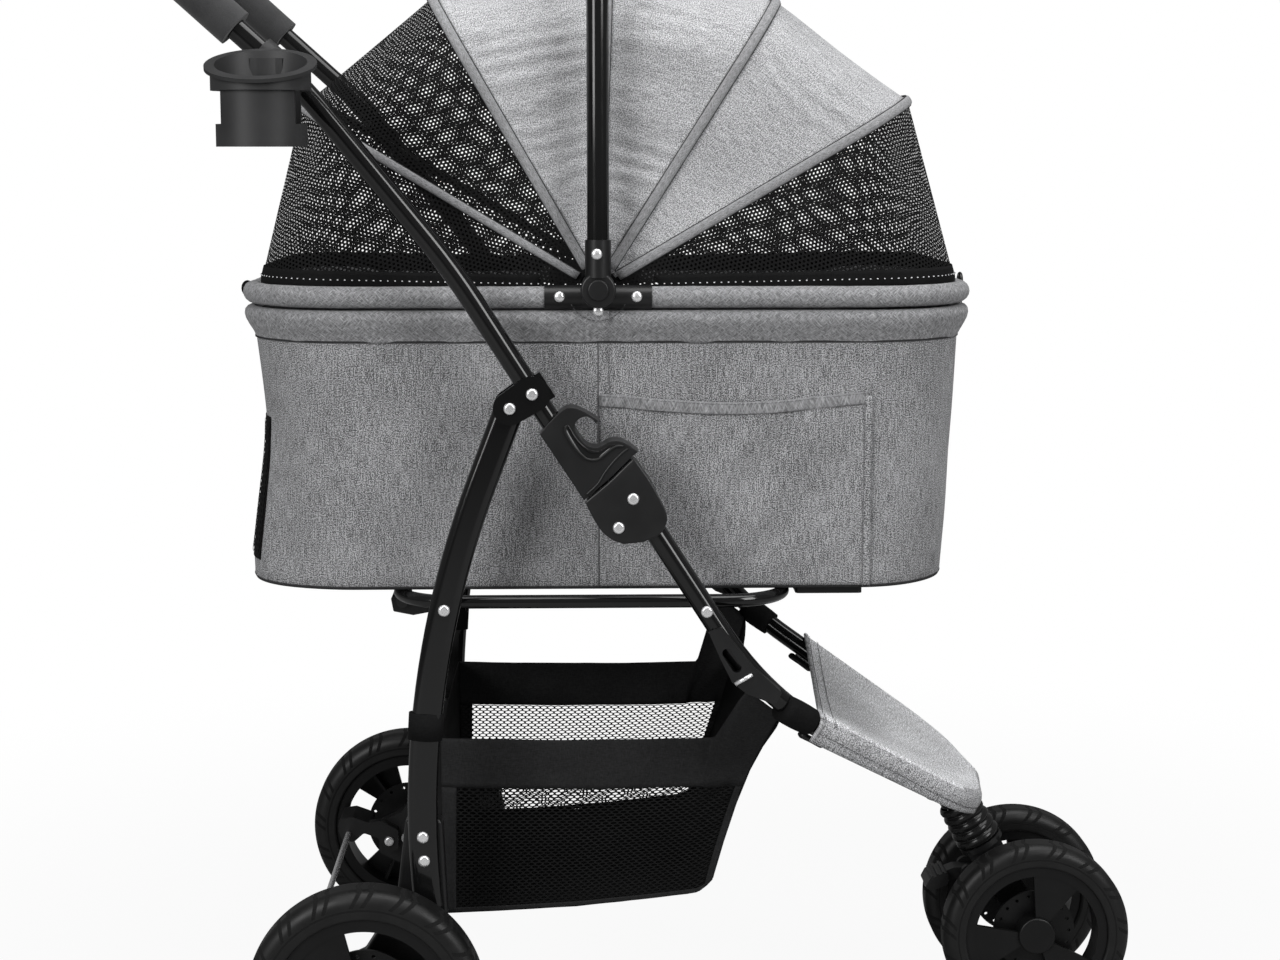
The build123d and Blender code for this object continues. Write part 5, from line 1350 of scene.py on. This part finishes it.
def leg_trim():
    """Bright bar across the lower end of each gusset and the clip under each leg at the cover's hem."""
    bars, clips = [], []
    for sign in (-1, 1):
        bars.append(sweep([(x, sign * y, z) for x, y, z in GUSSET_BAR], circle(1.5, 12)))
        start = (COVER_RIGHT if sign < 0 else COVER_LEFT) - CLIP_BACK
        spots = [start + CLIP_LONG * t for t in (0.0, 0.08, 0.5, 0.92, 1.0)]
        clip = [(x, sign * (leg_half(x) - CLIP_IN), leg_level(x) - CLIP_DROP) for x in spots]
        clips.append(sweep(clip, ellipse(4.2, 2.6, 16), up=(0, 0, 1), scale=[0.7, 1.0, 0.92, 1.0, 0.7]))
    make_piece("gusset_bars", *joined(bars), STEEL, "front_frame")
    make_piece("cover_clips", *joined(clips), PLASTIC, "front_frame")


# Footrest cover
TOE_X, TOE_HALF, TOE_R = 203.0, 102.0, 80.0
COVER_RIGHT, COVER_LEFT = 70.0, 93.0    # the hem sits further back on the right leg
COVER_SKIN = 10.6       # cloth from the axis of a leg
COVER_WRAP = 1.75       # turn of the cloth round a leg, in radians
SKIRT_LONG, SKIRT_CUT = 9.0, 6.0        # skirt below the wrap at the hem, and how much shorter at the nose
COVER_SAG, HEM_HOLLOW = 9.0, 8.0        # sag of the top behind, and how far its hem is cut forward
SHADE_TILT = 0.6        # faces that look up less than this share get the darker copy of the cover cloth, as painted shade
NOSE_AHEAD, NOSE_HALF = 11.0, 100.0


def leg_run(share, hem_x):
    """Plan point and outward direction on the right leg from the hem to the nose, round the toe."""
    start = Vector((hem_x, -leg_half(hem_x)))
    along = Vector((1.0, LEG_CLOSE)).normalized()
    ahead = Vector((NOSE_AHEAD, NOSE_HALF)).normalized()
    corner = Vector((TOE_X, -TOE_HALF))
    turn = along.angle(ahead)
    cut = TOE_R * sin(turn / 2) / cos(turn / 2)
    straight = (corner - start).length - cut
    nose = NOSE_HALF - cut
    left = share * (straight + TOE_R * turn + nose)
    if left < straight:
        return start + along * left, Vector((along.y, -along.x))
    centre = start + along * straight + Vector((-along.y, along.x)) * TOE_R
    bend = min((left - straight) / TOE_R, turn)
    out = Vector((along.y, -along.x))
    out = Vector((out.x * cos(bend) - out.y * sin(bend), out.x * sin(bend) + out.y * cos(bend)))
    point = centre + out * TOE_R
    return point + ahead * max(0.0, left - straight - TOE_R * turn), out


def cover_side(share, hem_x):
    """Skirt and wrap of the cover round the right leg, from below to its top."""
    spot, out = leg_run(share, hem_x)
    normal = Vector((LEG_FALL, 0, 1)).normalized()
    side = Vector((out.x, out.y, -LEG_FALL * out.x)).normalized()
    axis = Vector((spot.x, spot.y, leg_level(spot.x)))
    skin = COVER_SKIN + 2.5 * share ** 4
    skirt = SKIRT_LONG - SKIRT_CUT * share
    turns = [(COVER_WRAP, skirt), (COVER_WRAP, skirt / 2), (COVER_WRAP, 0.0)]
    turns += [(COVER_WRAP * (1 - k / 6), 0.0) for k in range(1, 6)]
    wrap = [axis + side * skin * sin(a) + normal * (skin * cos(a) - drop) for a, drop in turns]
    return wrap + [axis + normal * skin]


def cover_section(share):
    """Points of the cover across both legs at a share of its length: right wrap, sagging top, left wrap."""
    normal = Vector((LEG_FALL, 0, 1)).normalized()
    slope = Vector((1, 0, -LEG_FALL))
    right, left = cover_side(share, COVER_RIGHT), cover_side(share, COVER_LEFT)
    left = [Vector((p.x, -p.y, p.z)) for p in reversed(left)]
    row = list(right)
    count = 41
    for k in range(1, count - 1):
        b = 2 * k / (count - 1) - 1
        middle = 1 - b * b
        sag = COVER_SAG * middle * (1 - share) ** 1.3 + 1.0 * middle
        wave = soft_noise(share * 5.0, b * 3.0, 1.0) * 1.3 * middle
        hollow = slope * HEM_HOLLOW * middle * (1 - share) ** 3
        row.append(right[-1].lerp(left[0], k / (count - 1)) + normal * (wave - sag) + hollow)
    return row + left


def footrest_cover():
    """Cloth stretched over both legs, with a hollow hem behind and a skirt under each leg."""
    shares = evenly(0.0, 1.0, 60)
    sections = [cover_section(share) for share in shares]
    count = len(sections[0])
    points, uvs = [], []
    ahead = [0.0] * count
    for behind, section in zip([sections[0]] + sections, sections):
        ahead = [a + (here - there).length for a, here, there in zip(ahead, section, behind)]
        across = [0.0]
        for before, here in zip(section, section[1:]):
            across.append(across[-1] + (here - before).length)
        points += section
        uvs += [(a, s - across[-1] / 2) for a, s in zip(ahead, across)]
    faces = grid_faces(len(shares), count)
    piece = make_piece("footrest_hood", points, faces, COVER_CLOTH, "front_frame", uvs)
    face_outwards(piece, (140, 0, 150))
    # Faces that look away from up take the darker copy of the cover cloth: painted shade.
    piece.data.materials.append(COVER_SHADED_CLOTH)
    for polygon in piece.data.polygons:
        polygon.material_index = int(polygon.normal.z < SHADE_TILT)
    thicken(piece, WALL_CLOTH)
    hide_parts("footrest_cover")
    lift = Vector((LEG_FALL, 0, 1)).normalized()
    rows = [[p + lift * 0.8 for p in cover_section(share)[5:-5]] for share in (0.012, 0.05)]
    for k, side in ((2, -1), (-3, 1)):
        rows.append([section[k] + Vector((0, side * 0.9, 0)) for section in sections[:52]])
    stitches("cover_stitches", rows, "front_frame", 3.0, 2.3, 0.6)
    # The hem takes the darker copy of the cover cloth as painted shade.
    points, faces = sweep([p + lift * 0.2 for p in sections[0]], circle(1.6, 8))
    uvs = [(0.0, 1.0 * k) for k in range(len(points))]
    hem = make_piece("cover_hem", points, faces, COVER_SHADED_CLOTH, "front_frame", uvs)


# Stage, in metres: place, aim, width, height and power of each lamp
SOFTBOXES = {"overhead": ((0.2, -0.4, 2.6), (0, 0, 0.4), 2.4, 1.6, 44),
             "front_left": ((-1.7, -2.0, 1.5), (0, 0, 0.5), 1.0, 1.6, 38),
             "front_right": ((1.8, -1.9, 1.7), (0, 0, 0.5), 1.0, 1.6, 36)}
CAMERA_PLACE, CAMERA_DOWN, CAMERA_TURN, CAMERA_LENS = (-0.100, -1.820, 0.703), 8.27, -1.5, 64.2
WHITE = (1, 1, 1, 1)


def pale_floor():
    """Floor that is grey to the light and near white to the camera, a little darker by the wheels."""
    material, tree, shader = new_material("pale_floor", (0.32, 0.32, 0.32), 0.9)
    place = add_node(tree, "ShaderNodeTexCoord").outputs["Object"]
    reach = add_node(tree, "ShaderNodeVectorMath", {"operation": "LENGTH"}, Vector=place)
    fade = add_node(tree, "ShaderNodeMapRange", {"interpolation_type": "SMOOTHSTEP"},
                    Value=reach.outputs["Value"], From_Min=0.4, From_Max=1.3, To_Min=0.94, To_Max=1.0)
    seen = add_node(tree, "ShaderNodeLightPath").outputs["Is Camera Ray"]
    glow = add_node(tree, "ShaderNodeEmission", Color=WHITE)
    mix = add_node(tree, "ShaderNodeMixShader", Fac=combine(tree, "MULTIPLY", seen, fade.outputs["Result"]))
    tree.links.new(shader.outputs[0], mix.inputs[1])
    tree.links.new(glow.outputs[0], mix.inputs[2])
    tree.links.new(mix.outputs[0], tree.nodes["Material Output"].inputs["Surface"])
    mesh = bpy.data.meshes.new("floor")
    mesh.from_pydata([(-30, -30, 0), (30, -30, 0), (30, 30, 0), (-30, 30, 0)], [], [(0, 1, 2, 3)])
    mesh.materials.append(material)
    floor = add_object("floor", mesh)


def studio_light():
    """White surroundings that light the stroller only weakly, and three soft lamps."""
    world = bpy.data.worlds.new("studio")
    bpy.context.scene.world = world
    world.use_nodes = True
    sky = world.node_tree
    background = sky.nodes["Background"]
    background.inputs["Color"].default_value = WHITE
    path = add_node(sky, "ShaderNodeLightPath")
    seen = combine(sky, "MAXIMUM", path.outputs["Is Camera Ray"], path.outputs["Is Transmission Ray"])
    level = add_node(sky, "ShaderNodeMapRange", Value=seen, To_Min=0.18, To_Max=1.0)
    sky.links.new(level.outputs["Result"], background.inputs["Strength"])
    for name, (place, target, wide, tall, power) in SOFTBOXES.items():
        lamp = bpy.data.lights.new(name, "AREA")
        lamp.shape = "RECTANGLE"
        lamp.size, lamp.size_y, lamp.energy = wide, tall, power
        holder = add_object(name, lamp)
        holder.location = place
        holder.rotation_euler = (Vector(target) - Vector(place)).to_track_quat("-Z", "Y").to_euler()


def camera_view():
    """Camera that sees the stroller as the photo does."""
    lens = bpy.data.cameras.new("camera")
    lens.lens, lens.sensor_width, lens.sensor_fit = CAMERA_LENS, 36.0, "HORIZONTAL"
    camera = add_object("camera", lens)
    camera.location = CAMERA_PLACE
    camera.rotation_euler = (radians(90 - CAMERA_DOWN), 0.0, radians(CAMERA_TURN))
    bpy.context.scene.camera = camera
    bpy.context.scene.view_settings.view_transform = "Standard"


finish_nodes()
canopy()
basket_wall()
basket_lining()
rim_band()
ring_roll()
pocket()
pocket_edges()
rear_window()
canopy_hems()
hub_details()
front_hook()
storage_basket()
rear_leg_straps()
front_strut()
slider_relief()
shell_caps()
footrest_cover()
leg_trim()
pale_floor()
studio_light()
camera_view()
